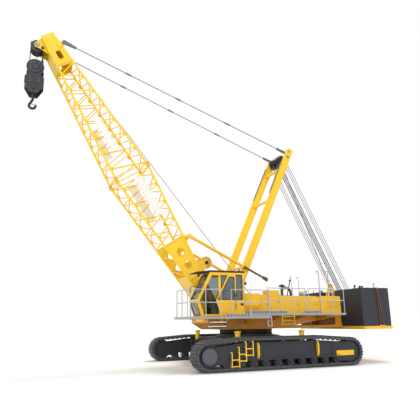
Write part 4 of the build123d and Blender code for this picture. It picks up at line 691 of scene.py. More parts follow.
    def bolts(self, heads: Iterable[Point], axis: Point, across_flats: float = 36.0) -> None:
        """Adds hexagon bolt heads on washers.

        Args:
            heads: where each washer sits.
            axis: the way that the heads point.
            across_flats: size of a head.
        """
        radius = across_flats / math.sqrt(3)
        washer = radius * 0.18
        for head in heads:
            self.lathe(head, axis, [(0, radius * 1.25), (washer, radius * 1.25)], 12)
            self.lathe(Vector(head) + Vector(axis).normalized() * washer, axis,
                       [(0, radius), (radius * 0.6, radius), (radius * 0.72, radius * 0.8)], 6)

    def bolt_ring(self, centre: Point, axis: Point, radius: float, count: int, across_flats: float = 36.0) -> None:
        """Adds bolt heads evenly round a circle.

        Args:
            centre: the circle's middle.
            axis: way the heads point.
            radius: the circle's radius.
            count: how many heads.
            across_flats: size of a head.
        """
        middle, way = self.real(centre), self.real(axis).normalized()
        across = way.orthogonal().normalized()
        self.bolts([self.real(middle + across * first + way.cross(across) * second)
                    for first, second in ring(radius, count)], axis, across_flats)

    def done(self) -> bpy.types.Object:
        """Makes the object, gives it its material and puts it on its body.

        Returns:
            The object.
        """
        bmesh.ops.recalc_face_normals(self.mesh, faces=self.mesh.faces)
        data = bpy.data.meshes.new(self.name)
        self.mesh.to_mesh(data)
        self.mesh.free()
        data.polygons.foreach_set("use_smooth", [True] * len(data.polygons))
        data.set_sharp_from_angle(angle=SHARP_ANGLE)
        data.materials.append(self.finish.material())
        made = bpy.data.objects.new(self.name, data)
        bpy.context.scene.collection.objects.link(made)
        if self.body:
            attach(made, self.body)
        if self.replaces:
            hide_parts(self.replaces)
        LOG.info("%s: %d faces", self.name, len(data.polygons))
        return made


def both_sides(*pieces: Piece) -> Iterator[None]:
    """Goes over both sides: what the pieces get meanwhile is on the left, then mirrored on the right.

    Args:
        pieces: those that get it.

    Yields:
        Nothing, once for each side.
    """
    for side in Side:
        for piece in pieces:
            piece.hand = side.value
        yield
    for piece in pieces:
        piece.hand = 1


# ---------------------------------------------------------------- the crane's frames

@dataclass(frozen=True)
class BoomSizes:
    """Sizes of the lattice boom, in millimetres: s runs up the boom, t to its back."""

    length: float = 16000
    joint_s: float = 8000
    axle_s: float = 15750
    axle_ahead: float = 650
    foot_depth: float = 330
    joint_depth: float = 1800
    head_depth: float = 560
    width: float = 1500
    head_width: float = 1000
    plated: float = 4100
    head_start: float = 14250
    stop_shaft: tuple = (3900, 0, 620)
    stop_angle: float = 205.9
    stop_tube: float = 3250
    stop_reach: float = 4648
    stop_y: float = 1230

    def depth(self, s: float) -> float:
        """Depth between the chords at a distance from the foot.

        Args:
            s: the distance.

        Returns:
            The depth.
        """
        if s <= self.joint_s:
            return self.foot_depth + (self.joint_depth - self.foot_depth) * s / self.joint_s
        past = (s - self.joint_s) / (self.length - self.joint_s)
        return self.joint_depth + (self.head_depth - self.joint_depth) * past

    def breadth(self, s: float) -> float:
        """Width between the chords at a distance from the foot."""
        past = max(s - self.joint_s, 0) / (self.length - self.joint_s)
        return self.width + (self.head_width - self.width) * past


BOOM = BoomSizes()


@dataclass(frozen=True)
class Crane:
    """Places on the crane that several assemblies share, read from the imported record."""

    record: dict

    def joint(self, name: str) -> Vector:
        """Where a joint turns, in metres."""
        return next(Vector(joint["pos_m"]) for joint in self.record["behaviour"]["joints"] if joint["name"] == name)

    def _member(self, foot: str, head: str, lean: float = 0.0) -> Matrix:
        """Frame of a long member, in millimetres up it, to the left and to its back.

        Args:
            foot: joint at its foot, where the frame starts.
            head: joint at its head.
            lean: how far the frame stands steeper than the line between both.

        Returns:
            The frame.
        """
        run = self.joint(head) - self.joint(foot)
        return self._tilted(self.joint(foot), math.atan2(run.z, run.x) + lean)

    @staticmethod
    def _tilted(origin: Vector, angle: float) -> Matrix:
        """Frame whose x rises at an angle."""
        return Matrix.Translation(origin) @ Matrix.Rotation(-angle, 4, "Y") @ Matrix.Scale(MM, 4)

    def frame(self, body: str) -> Matrix:
        """Millimetres on a body.

        Args:
            body: the body's name.

        Returns:
            For the boom, its winch and the mast a frame that runs up them, for the backstops one that runs down
            them, for the hook one from the block's axle, and for the rest one from the slew axis on the ground.
        """
        if body in ("boom", "drum_aux"):
            return self._member("boom_luff", "head_sheave_spin", math.atan2(BOOM.axle_ahead, BOOM.axle_s))
        if body == "mast":
            return self._member("mast_luff", "mast_sheave_spin")
        if body == "backstops":
            return self._tilted(self.frame("boom") @ Vector(BOOM.stop_shaft), math.radians(BOOM.stop_angle))
        if body in ("hook_block", "hook"):
            return self._tilted(self.joint("block_sheave_spin"), 0)
        return self._tilted(Vector((self.joint("slew").x, 0, 0)), 0)


@dataclass(frozen=True)
class Assembly:
    """One group of fittings on the crane, most on one body. A method with a side builds what is on that side."""

    crane: Crane
    pieces: list[Piece] = field(default_factory=list)
    body: ClassVar[str] = "upper"

    def piece(self, name: str, finish: Finish, side: Side | None = None, body: str = "",
              replaces: str = "") -> Piece:
        """Starts a piece that is made with the assembly.

        Args:
            name: the piece's name, without the side's letter.
            finish: its surface.
            side: the side that it is on, for pieces that come in pairs.
            body: its body, if it isn't the assembly's.
            replaces: CAD node that it stands for.

        Returns:
            The piece.
        """
        body = body or self.body
        full = name if side is None else f"{name}_{side.tag}"
        self.pieces.append(Piece(full, body, finish, self.crane.frame(body), 1 if side is None else side.value,
                                 replaces))
        return self.pieces[-1]

    def build(self) -> None:
        """Adds the assembly's shapes."""

    def dress(self) -> None:
        """Builds the assembly and makes every piece that holds a shape."""
        LOG.info("%s", type(self).__name__)
        self.build()
        for piece in self.pieces:
            if len(piece.mesh.verts):
                piece.done()


# ---------------------------------------------------------------- crawlers

@dataclass(frozen=True)
class TrackPath:
    """The closed line on which the shoes of one crawler lie, in millimetres from the slew axis."""

    axle_x: float = 3480
    axle_z: float = 620
    crest_x: float = 1950
    crest_z: float = 1305
    pad: float = 45
    chain: float = 95
    shoes: int = 66

    def runs(self) -> list[tuple]:
        """Straight runs and arcs in order.

        Returns:
            Each as (length, function of the distance along).
        """
        radius = self.axle_z - self.pad
        slope = Vector((self.crest_x - self.axle_x, self.crest_z - self.axle_z))
        wrap = math.atan2(slope.y, slope.x) - math.acos(radius / slope.length)
        lift = self.axle_x + radius * math.cos(wrap), self.axle_z + radius * math.sin(wrap)

        def straight(start: Point, end: Point) -> tuple:
            """Run between two points."""
            first, run = Vector(start), Vector(end) - Vector(start)
            return run.length, lambda d: (first + run * (d / run.length), run.normalized())

        def arc(centre_x: float, start: float) -> tuple:
            """Arc round a wheel from a starting angle."""
            def at(d: float) -> tuple[Vector, Vector]:
                """Point and direction at a distance along the arc."""
                turn = start + d / radius
                spot = Vector((centre_x + radius * math.cos(turn), self.axle_z + radius * math.sin(turn)))
                return spot, Vector((-math.sin(turn), math.cos(turn)))
            return radius * (math.pi / 2 + wrap), at

        return [straight((-self.axle_x, self.pad), (self.axle_x, self.pad)), arc(self.axle_x, -math.pi / 2),
                straight(lift, (self.crest_x, self.crest_z)),
                straight((self.crest_x, self.crest_z), (-self.crest_x, self.crest_z)),
                straight((-self.crest_x, self.crest_z), (-lift[0], lift[1])), arc(-self.axle_x, math.pi - wrap)]

    def length(self) -> float:
        """Length of the whole loop."""
        return sum(length for length, _ in self.runs())

    def at(self, share: float) -> tuple[Vector, Vector]:
        """Place and direction at a share of the whole loop.

        Args:
            share: 0 to 1 from the rear end of the bottom run.

        Returns:
            The point and the unit direction, both as (forward, up).
        """
        runs = self.runs()
        left = (share % 1.0) * self.length()
        for length, spot in runs:
            if left <= length:
                return spot(left)
            left -= length
        return runs[-1][1](runs[-1][0])

    def stations(self, count: int, start: float = 0.0) -> Iterator[tuple[Vector, Vector, Vector]]:
        """Goes round the loop in even steps.

        Args:
            count: how many steps.
            start: share of a step before the first place.

        Yields:
            The point, the direction and the way out of the loop, all as (forward, up).
        """
        for index in range(count):
            spot, way = self.at((index + start) / count)
            yield spot, way, Vector((way.y, -way.x))


@dataclass(frozen=True)
class Crawlers(Assembly):
    """Both crawlers: shoes with grousers, link pins, roller caps, final drive covers, idler hubs and small plates."""

    body = "undercarriage"
    path: TrackPath = TrackPath()
    middle_y: float = 3465
    shoe_width: float = 790
    frame_width: float = 600
    rollers: int = 10
    pitch: float = 600
    roller_z: float = 290
    carrier_z: float = 1048
    carriers: tuple = (-1600, 0, 1600)
    # Share of the pitch along the chain, height above the chain
    shoe: tuple = ((-0.475, -26), (-0.475, -6), (-0.44, 0), (-0.38, 45), (-0.22, 45), (-0.15, 12),
                   (0.15, 12), (0.22, 45), (0.38, 45), (0.44, 0), (0.475, -6), (0.475, -26))
    lug: tuple = ((-0.22, -85), (0.22, -85), (0.147, -150), (-0.147, -150))
    lug_width: float = 90

    def build(self) -> None:
        """Builds the fittings of both sides."""
        for side in Side:
            for part in (self.link_pins, self.track, self.shoe_bolts, self.caps, self.drive_cover, self.idler_hub,
                         self.side_plates):
                part(side)

    def link_pins(self, side: Side) -> None:
        """A pin with a collar at each joint of the chain, seen from both edges of the shoes."""
        pins = self.piece("link_pins", TRACK_CAST, side)
        for spot, _, outward in self.path.stations(self.path.shoes):
            middle = spot - outward * self.path.chain * 0.5
            for edge in (1, -1):
                face = self.middle_y + edge * (self.shoe_width / 2 - 12)
                pins.lathe((middle.x, face, middle.y), (0, edge, 0),
                           [(0, 30), (8, 30), (10, 24), (14, 24), (16, 18)], 12)

    def track(self, side: Side) -> None:
        """The whole track with two grousers on every shoe: plates, the closed chain band and the drive lugs."""
        track = self.piece("grouser_track", TRACK_CAST, side, replaces=f"track_{side.tag}")
        pitch = self.path.length() / self.path.shoes
        for spot, way, outward in self.path.stations(self.path.shoes, 0.5):
            for outline, width in ((self.shoe, self.shoe_width), (self.lug, self.lug_width)):
                points = [spot + way * (share * pitch) + outward * height for share, height in outline]
                track.prism([(point.x, max(point.y, 0)) for point in points],
                            self.middle_y - width / 2, self.middle_y + width / 2)
        rings = []
        half = self.shoe_width / 2 - 8
        low, high = self.middle_y - half, self.middle_y + half
        for spot, _, outward in self.path.stations(4 * self.path.shoes):
            outer, inner = spot - outward * 10, spot - outward * self.path.chain
            rings.append(track.points([(outer.x, low, outer.y), (outer.x, high, outer.y),
                                       (inner.x, high, inner.y), (inner.x, low, inner.y)]))
        track.skin(rings, closed=True)

    def shoe_bolts(self, side: Side) -> None:
        """Four bolt heads on each half of every shoe, inside the chain."""
        heads = self.piece("shoe_bolts", TRACK_CAST, side)
        for spot, way, outward in self.path.stations(self.path.shoes, 0.5):
            for lane in (-340, -250, 250, 340):
                for along in (-62, 62):
                    foot = spot - outward * (self.path.chain - 2) + way * along
                    heads.lathe((foot.x, self.middle_y + lane, foot.y), (-outward.x, 0, -outward.y),
                                [(0, 24), (16, 24), (19, 20)], 6)

    def caps(self, side: Side) -> None:
        """End caps of the bottom and carrier rollers on both faces of the side frame."""
        caps = self.piece("roller_caps", ANTHRACITE, side)
        bolts = self.piece("roller_bolts", ANTHRACITE, side)
        half = self.rollers * self.pitch / 2
        spots = [(x, self.roller_z, 74) for x in spread(-half, half, self.rollers, 0.5)]
        spots += [(x, self.carrier_z, 60) for x in self.carriers]
        for face in (1, -1):
            y = self.middle_y + face * self.frame_width / 2
            for x, z, radius in spots:
                caps.lathe((x, y, z), (0, face, 0),
                           [(0, radius + 14), (12, radius + 14), (14, radius), (34, radius - 4),
                            (40, radius - 16), (40, 16), (34, 12)], 20)
                bolts.bolt_ring((x, y + face * 36, z), (0, face, 0), radius - 24, 4, 22)

    def drive_cover(self, side: Side) -> None:
        """Final drive's cover on the outer face: stepped disc, bolts, hub and two plugs."""
        x, z = self.path.axle_x, self.path.axle_z
        face = self.middle_y + self.frame_width / 2 + 70
        cover = self.piece("drive_cover", HUB_GREY, side)
        cover.lathe((x, face, z), OUT, [(-2, 322), (8, 322), (12, 312), (12, 248), (24, 240), (24, 120), (34, 110),
                                        (34, 0.5)], 48)
        for turn in (0.35, 2.6):
            along, up = turned(190, turn)
            cover.lathe((x + along, face + 22, z + up), OUT, [(0, 26), (8, 26), (10, 15), (22, 15)], 8)
        bolts = self.piece("drive_bolts", HUB_GREY, side)
        bolts.bolt_ring((x, face + 10, z), OUT, 284, 20, 26)
        bolts.bolt_ring((x, face + 32, z), OUT, 78, 8, 20)

    def idler_hub(self, side: Side) -> None:
        """Idler's axle cap on the inner face, its sliding yoke plates and their bolts."""
        x, z = -self.path.axle_x, self.path.axle_z
        face = self.middle_y - self.frame_width / 2
        inward = (0, -1, 0)
        hub = self.piece("idler_hub", ANTHRACITE, side)
        hub.lathe((x, face, z), inward, [(0, 230), (18, 230), (22, 220), (22, 150), (44, 140), (44, 60), (58, 52),
                                         (58, 0.5)], 40)
        hub.block((x + 180, x + 620), (face - 22, face), (z - 130, z + 130), 8)
        hub.block((x + 260, x + 540), (face - 40, face - 20), (z - 40, z + 40), 6)
        bolts = self.piece("idler_bolts", ANTHRACITE, side)
        bolts.bolt_ring((x, face - 20, z), inward, 186, 12, 26)
        bolts.bolts([(x + step, face - 20, z + up) for step in (420, 510, 600) for up in (-98, 98)], inward, 28)

    def side_plates(self, side: Side) -> None:
        """Bands, ribs and bolts on the outer face of the side frame, with one blank yellow plate at the rear."""
        face = self.middle_y + self.frame_width / 2
        bands = self.piece("frame_bands", ANTHRACITE, side)
        bands.block((-2750, 1420), (face, face + 14), (1040, 1082))
        bands.block((-2900, 2820), (face, face + 12), (470, 500))
        for x in (-2450, 1020):
            bands.block((x - 11, x + 11), (face, face + 16), (500, 1040))
        bolts = self.piece("frame_bolts", ANTHRACITE, side)
        bolts.bolts([(x, face + 12, 1061) for x in range(-2650, 1400, 450)], OUT, 20)
        plate = self.piece("blank_plate", YELLOW, side)
        plate.block((-3640, -2690), (face - 2, face + 12), (448, 668), 3)


@dataclass(frozen=True)
class CarBody(Assembly):
    """Fittings of the centre section: ring gear teeth, flange bolts, beam plates, and the jacks' rods and ears."""

    body = "undercarriage"
    ring_radius: float = 1285
    stud_radius: float = 1328
    seat_z: float = 1400
    ring_height: float = 110
    teeth: int = 108
    studs: int = 72
    beam_x: float = 1560
    beam_half: float = 310
    jack_x: float = 1660
    jack_y: float = 2600

    def build(self) -> None:
        """Builds the centre section's fittings."""
        self.gear_teeth()
        self.flange_bolts()
        self.beams()
        self.jacks()

    def gear_teeth(self) -> None:
        """External teeth of the slew ring."""
        gear = self.piece("gear_teeth", GREASED_STEEL)
        pitch = math.tau / self.teeth
        for tooth in range(self.teeth):
            profile = [turned(self.ring_radius + reach, (tooth + share) * pitch)
                       for share, reach in ((-0.32, -4), (-0.14, 36), (0.14, 36), (0.32, -4))]
            gear.prism(profile, self.seat_z + 4, self.seat_z + self.ring_height - 4, "z")

    def flange_bolts(self) -> None:
        """Bolts of the slew ring: up through the lower flange, and round the revolving race."""
        low = self.piece("flange_bolts", GREASED_STEEL)
        low.bolt_ring((0, 0, self.seat_z - 1), UP, self.ring_radius + 62, 60, 30)
        race = self.piece("race_studs", GREASED_STEEL, body="upper")
        for x, y in ring(self.stud_radius, self.studs):
            race.lathe((x, y, self.seat_z + self.ring_height + 66), (x, y, 0), [(0, 16), (7, 16), (9, 12)], 8)

    def beams(self) -> None:
        """Bolted joint plates where the cross beams meet the side frames, and ribs on their faces."""
        plates = self.piece("beam_plates", ANTHRACITE)
        bolts = self.piece("beam_bolts", ZINC_BOLT)
        for _ in both_sides(plates, bolts):
            for x, face in [(x, face) for x in (self.beam_x, -self.beam_x) for face in (1, -1)]:
                edge = x + face * self.beam_half
                for thick, y, z in ((18, (2960, 3150), (640, 1080)), (22, (2050, 2074), (640, 1090)),
                                    (22, (1420, 1444), (620, 1190))):
                    plates.block((edge, edge + face * thick), y, z, 6)
                bolts.bolts([(edge + face * 16, y, z) for y in (3010, 3100) for z in (700, 790, 930, 1020)],
                            (face, 0, 0), 34)

    def jacks(self) -> None:
        """Polished rods and caps on the jacks, with a lifting ear on each."""
        rods = self.piece("jack_rods", BRIGHT_STEEL)
        ears = self.piece("jack_ears", YELLOW)
        for x in (self.jack_x, -self.jack_x):
            for y in (self.jack_y, -self.jack_y):
                rods.lathe((x, y, 1568), UP, [(0, 74), (18, 74), (22, 68), (22, 0.5)])
                ears.block((x - 14, x + 14), (y + 118, y + 176), (1330, 1450), 8)
                ears.block((x - 60, x + 60), (y - 168, y - 112), (1094, 1150), 8)


# ---------------------------------------------------------------- upper works

@dataclass(frozen=True)
class Panel:
    """One panel of the house side, in millimetres from the slew axis."""

    name: str
    front: float
    rear: float
    outer: float
    top: float


PANELS = {
    Side.LEFT: (Panel("hood", 950, 120, 1950, 3280), Panel("niche", 120, -350, 1860, 3200),
                Panel("locker", -350, -930, 1950, 3440), Panel("tank", -930, -3060, 1950, 3180),
                Panel("seam", -3060, -3310, 1860, 3120), Panel("rear", -3310, -4500, 1950, 3180)),
    Side.RIGHT: (Panel("nose", 2100, 1250, 1950, 2950), Panel("locker", 1250, 120, 1950, 3280),
                 Panel("radiator", 120, -800, 1950, 3400), Panel("engine", -800, -3060, 1950, 3300),
                 Panel("rear", -3060, -4500, 1950, 3180))}
REAR_DECK = 2310
FRONT_DECK = 2180
DECK_STEP_X = 120
FRAME_TOP = 2298


@dataclass(frozen=True)
class Decks(Assembly):
    """Walkways: tread plate, toe boards with slanting slots drawn as black plates of painted shade, ladder, hanging
    step and the cab's boarding steps.

    Each toe board is its rear x, front x, outer y, the deck it stands on and the foot of its slots.
    """

    inner: float = 1958
    outer: float = 2600
    cab_outer: float = 2950
    rear_x: float = -4300
    front_x: tuple = (4150, 2100)       # left, right
    bay: float = 900
    notch: float = 125
    slot_high: float = 96
    toe_boards: tuple = ((-2850, -1900, 2600, REAR_DECK, 2344), (-950, 120, 2600, REAR_DECK, 2344),
                         (130, 1150, 2600, FRONT_DECK, 2344), (1200, 2300, 2950, FRONT_DECK, 2204))

    def build(self) -> None:
        """Builds both walkways."""
        for side in Side:
            self.tread(side)
            self.edge(side)
            self.brackets(side)
        self.ladder()
        self.step()
        self.boarding()

    def boarding(self) -> None:
        """Stack of two boarding steps that hangs under the deck in front of the cab door."""
        frame = self.piece("boarding_frame", BROWN_ENAMEL)
        treads = self.piece("boarding_treads", PANEL_WHITE)
        for x in (2360, 3020):
            frame.prism([(2660, 2126), (2936, 2126), (2936, 1790), (2890, 1770), (2700, 1770)], x - 10, x + 10, "x")
        for z, front in ((1782, 3120), (1960, 3060)):
            treads.prism([(2340, 2640), (front - 90, 2640), (front - 26, 2668), (front, 2730), (front, 2860),
                          (front - 26, 2922), (front - 90, 2950), (2340, 2950)], z, z + 34, "z")
            frame.block((2380, 3000), (2700, 2900), (z - 44, z + 1), 8)

    def runs(self, side: Side) -> tuple:
        """Deck runs of one side.

        Args:
            side: the crane's side.

        Returns:
            Each as (rear x, front x, outer y, top z).
        """
        on_left = side is Side.LEFT
        return ((self.rear_x, DECK_STEP_X, self.outer, REAR_DECK),
                (DECK_STEP_X, self.front_x[0 if on_left else 1], self.cab_outer if on_left else self.outer, FRONT_DECK))

    def tread(self, side: Side) -> None:
        """Tread plates laid in bays on the walkway."""
        plates = self.piece("tread_plates", TREAD, side)
        for rear, front, outer, top in self.runs(side):
            bays = max(1, round((front - rear) / self.bay))
            for x in spread(rear, front, bays):
                plates.block((x + 5, x + (front - rear) / bays - 5), (self.inner, outer - 12), (top, top + 7), 2)

    def edge(self, side: Side) -> None:
        """Light strip along the outer edge, with toe boards whose slanting slots are black plates: painted shade of the
        openings.
        """
        strip = self.piece("edge_strip", LIGHT_ALLOY, side)
        slots = self.piece("edge_notches", RUBBER, side)
        for rear, front, outer, top in self.runs(side):
            strip.block((rear, front), (outer, outer + 6), (top - 62, top + 30), 2)
        for rear, front, outer, foot, low in self.toe_boards:
            if side is Side.RIGHT and outer > self.outer:
                continue
            y, high = outer - 4, low + self.slot_high
            strip.block((rear, front), (y - 6, y), (foot, high + 24), 2)
            for x in spread(rear, front, int((front - rear) / self.notch), 0.5):
                # Black slanted plate on the toe board: painted shade that stands for a slot.
                slots.prism([(x - 48, low), (x - 2, low), (x + 48, high), (x + 2, high)], y - 2, y + 2)
        if side is Side.LEFT:
            x = self.front_x[0]
            strip.block((x, x + 6), (1160, self.cab_outer + 6), (FRONT_DECK - 62, FRONT_DECK + 44), 2)

    def brackets(self, side: Side) -> None:
        """Bolted feet of the deck brackets under the deck."""
        bolts = self.piece("deck_bolts", ZINC_BOLT, side)
        for x in (1900, 500, -900, -2200, -3600):
            top = FRONT_DECK if x > DECK_STEP_X else REAR_DECK
            bolts.bolts([(x + 26, 1190, top - drop) for drop in (120, 210, 280)], AHEAD, 30)

    def ladder(self) -> None:
        """Short hanging ladder at the left deck edge."""
        rails = self.piece("deck_ladder", YELLOW)
        rungs = self.piece("ladder_rungs", YELLOW)
        for x in (-640, -1290):
            rails.prism([(2604, 2296), (2664, 2270), (2664, 1800), (2604, 1800)], x - 12, x + 12, "x")
        for z in (1830, 2000, 2170):
            rungs.block((-1280, -650), (2608, 2660), (z, z + 26), 6)

    def step(self) -> None:
        """Hanging step forward of the ladder."""
        step = self.piece("deck_step", PANEL_WHITE)
        for x in (-70, 130):
            step.prism([(2606, 2250), (2640, 2250), (2700, 1780), (2666, 1760), (2606, 1900)], x - 8, x + 8, "x")
        step.block((-74, 134), (2610, 2700), (1762, 1784), 5)
        step.block((-74, 134), (2608, 2650), (2000, 2016))


@dataclass(frozen=True)
class House(Assembly):
    """House sides: door leaves, handles, louvres, ribs, roof grilles, exhaust, pipes and the frame's front."""

    leaf_width: float = 1060
    narrowest: float = 300
    louvred: tuple = ("engine", "radiator", "rear")
    louvre_count: int = 8
    roof_inner: float = 1352
    grille_y: tuple = (1430, 1800)
    grille_bars: int = 13
    long_panel: float = 800
    ribs: tuple = (2290, 2758, 9)       # foot of the lowest rib, top of the highest one's step, how many
    frame_y: float = 1150
    shelf_z: float = 3176
    stack: tuple = (-1330, 1560)        # x and y of the exhaust

    def build(self) -> None:
        """Builds the dressing of both sides."""
        for side, panels in PANELS.items():
            for panel in panels:
                self.panel(side, panel)
            self.louvres(side, panels)
            self.roof(side, panels)
        self.service_ribs()
        self.exhaust()
        self.goosenecks()
        self.frame_front()

    def panel(self, side: Side, panel: Panel) -> None:
        """Doors of one panel: raised leaves, with hinges and a pull handle where the panel is wide enough.

        Args:
            side: the crane's side.
            panel: where they are.
        """
        face, width = panel.outer, panel.front - panel.rear
        foot = (FRONT_DECK if panel.front > DECK_STEP_X else REAR_DECK) + 45
        leaves = max(1, round(width / self.leaf_width))
        leaf = (width - 40) / leaves
        middle = (foot + panel.top) / 2
        skin = self.piece(f"door_leaf_{panel.name}", YELLOW, side)
        metal = self.piece(f"door_fittings_{panel.name}", ABS_DARK, side)
        for rear in spread(panel.rear + 20, panel.front - 20, leaves):
            skin.block((rear + 4, rear + leaf - 4), (face, face + 7), (foot, panel.top - 30), 3)
            if width > self.narrowest:
                metal.block((rear + 30, rear + 54), (face + 6, face + 18), (middle - 40, middle + 40), 5)
                for z in (foot + 110, panel.top - 150):
                    skin.block((rear + leaf - 34, rear + leaf + 2), (face + 5, face + 14), (z, z + 76))

    def louvres(self, side: Side, panels: Sequence[Panel]) -> None:
        """Slanting louvre blades over a raised plate in the radiator, engine and rear panels.

        Args:
            side: the crane's side.
            panels: that side's panels.
        """
        blades = self.piece("louvres", YELLOW, side)
        shade = self.piece("louvre_shade", YELLOW, side)
        for panel in panels:
            if panel.name not in self.louvred:
                continue
            face = panel.outer + 9
            rear, front = panel.rear + 130, min(panel.rear + 830, panel.front - 110)
            low, high = panel.top - 560, panel.top - 190
            shade.block((rear, front), (face - 2, face + 2), (low, high), 1)
            for z in spread(low, high, self.louvre_count, 0.2):
                blades.prism([(face + 1, z), (face + 21, z - 10), (face + 21, z - 5), (face + 1, z + 26)],
                             rear - 4, front + 4, "x")
            for x in (rear - 12, front):
                blades.block((x, x + 12), (face - 2, face + 20), (low - 10, high + 10), 3)

    def roof(self, side: Side, panels: Sequence[Panel]) -> None:
        """Rolled edges along the top of each panel, with an air grille and a lifting eye on the long ones.

        Args:
            side: the crane's side.
            panels: that side's panels.
        """
        caps = self.piece("roof_caps", YELLOW, side)
        mesh = self.piece("roof_grilles", BROWN_ENAMEL, side)
        for panel in panels:
            run, outer, top = (panel.rear + 12, panel.front - 12), panel.outer - 6, panel.top
            caps.block(run, (outer - 46, outer), (top, top + 14), 5)
            caps.block(run, (self.roof_inner, self.roof_inner + 40), (top, top + 12))
            if panel.front - panel.rear > self.long_panel:
                low_x, high_x = panel.rear + 180, panel.rear + 760
                mesh.block((low_x, high_x), self.grille_y, (top - 1, top + 5), 2)
                first, last, gaps = low_x + 12, high_x - 12, self.grille_bars - 1
                for x in [*spread(first, last, gaps), last]:
                    caps.block((x - 5, x + 5), self.grille_y, (top + 4, top + 13), 2)
                caps.lathe(((panel.front + panel.rear) / 2 + 260, 1620, top), UP,
                           [(0, 42), (10, 42), (12, 26), (34, 24), (40, 14)], 16)

    def service_ribs(self) -> None:
        """Ribbed lower cover behind the cab."""
        ribs = self.piece("service_ribs", YELLOW)
        for z in spread(*self.ribs):
            ribs.prism([(1956, z), (1986, z + 8), (1986, z + 26), (1956, z + 34)], 175, 890, "x")

    def exhaust(self) -> None:
        """Mushroom-topped exhaust, the elbow behind it, a leaning post with a ball and the intake's white dome."""
        z = self.shelf_z
        foot = (*self.stack, z)
        stack = self.piece("exhaust_stack", ANTHRACITE)
        stack.lathe(foot, UP, [(0, 116), (16, 116), (20, 62), (470, 58), (490, 150), (520, 168), (548, 160),
                               (566, 70), (592, 64), (606, 40)], 28)
        stack.pipe([(-1500, 1560, 3600), (-1640, 1560, 3610), (-1800, 1560, 3480), (-1830, 1560, z)], 58, 130, 16)
        stack.lathe((-1830, 1560, z), UP, [(0, 96), (14, 96), (18, 68), (60, 66)], 20)
        stack.lathe((-1480, 1560, 3599), (-1, 0, 0.07), [(-26, 74), (10, 74), (14, 60)], 20)
        stack.pipe([(-1640, 1500, z), (-1730, 1500, 3560), (-1850, 1500, 3960)], 24, 120)
        stack.lathe((-1850, 1500, 3950), UP, [(-14, 12), (0, 38), (26, 54), (54, 54), (80, 38), (92, 10)], 18)
        dome = self.piece("intake_dome", LIGHT_ALLOY)
        dome.lathe((-2480, 1640, z), UP, [(0, 120), (90, 120), (96, 215), (150, 218), (205, 196), (246, 140),
                                          (266, 70), (270, 4)], 32)
        bands = self.piece("exhaust_clamps", BRIGHT_STEEL)
        for height in (3240, 3560):
            bands.lathe((*self.stack, height), UP, [(0, 56), (0, 68), (22, 68), (22, 56)], 24, True)

    def goosenecks(self) -> None:
        """Grey bent breather pipes behind the luffing winch and two thin bent posts before them."""
        pipes = self.piece("gooseneck_pipes", RAIL_ZINC)
        foot = 2300
        for x, y, top, reach, radius in ((-3790, 1230, 4560, 150, 26), (-4380, 1230, 4540, 150, 26),
                                         (-2080, 1240, 4210, 40, 15), (-2520, 1240, 4190, 110, 15)):
            pipes.pipe([(x, y, foot), (x, y, top), (x + reach, y, top), (x + reach, y, top - 110)], radius, 70, 12)
            pipes.lathe((x, y, foot), UP, [(0, 70), (16, 70), (20, 40), (60, 38)], 16)

    def frame_front(self) -> None:
        """Bolted cover and two lifting eyes on the frame's nose, seams along its sides, and hoses on its top."""
        cover = self.piece("frame_cover", YELLOW)
        cover.block((2500, 2514), (-520, 520), (2010, 2250), 6)
        for y in (-900, 900):
            cover.block((2500, 2560), (y - 20, y + 20), (2060, 2220), 10)
        bolts = self.piece("frame_cover_bolts", ZINC_BOLT)
        bolts.bolts([(2512, y, z) for y in range(-480, 481, 160) for z in (2034, 2226)], AHEAD, 24)
        seams = self.piece("frame_seams", YELLOW)
        for _ in both_sides(seams):
            for x in (1400, 200, -1000):
                seams.block((x - 10, x + 10), (self.frame_y, self.frame_y + 16), (1650, 2030))
            seams.block((-2050, 1980), (self.frame_y, self.frame_y + 12), (1642, 1664))
        hoses = self.piece("frame_hoses", RUBBER)
        for index, y in enumerate((-260, -190, -120, 120, 190, 260)):
            x = 1250 + 18 * (index % 2)
            hoses.pipe([(x, y, FRAME_TOP - 2), (x, y, 2480), (x - 330, y, 2560), (x - 520, y, 2420),
                        (x - 560, y, FRAME_TOP)], 20, 120, 8)


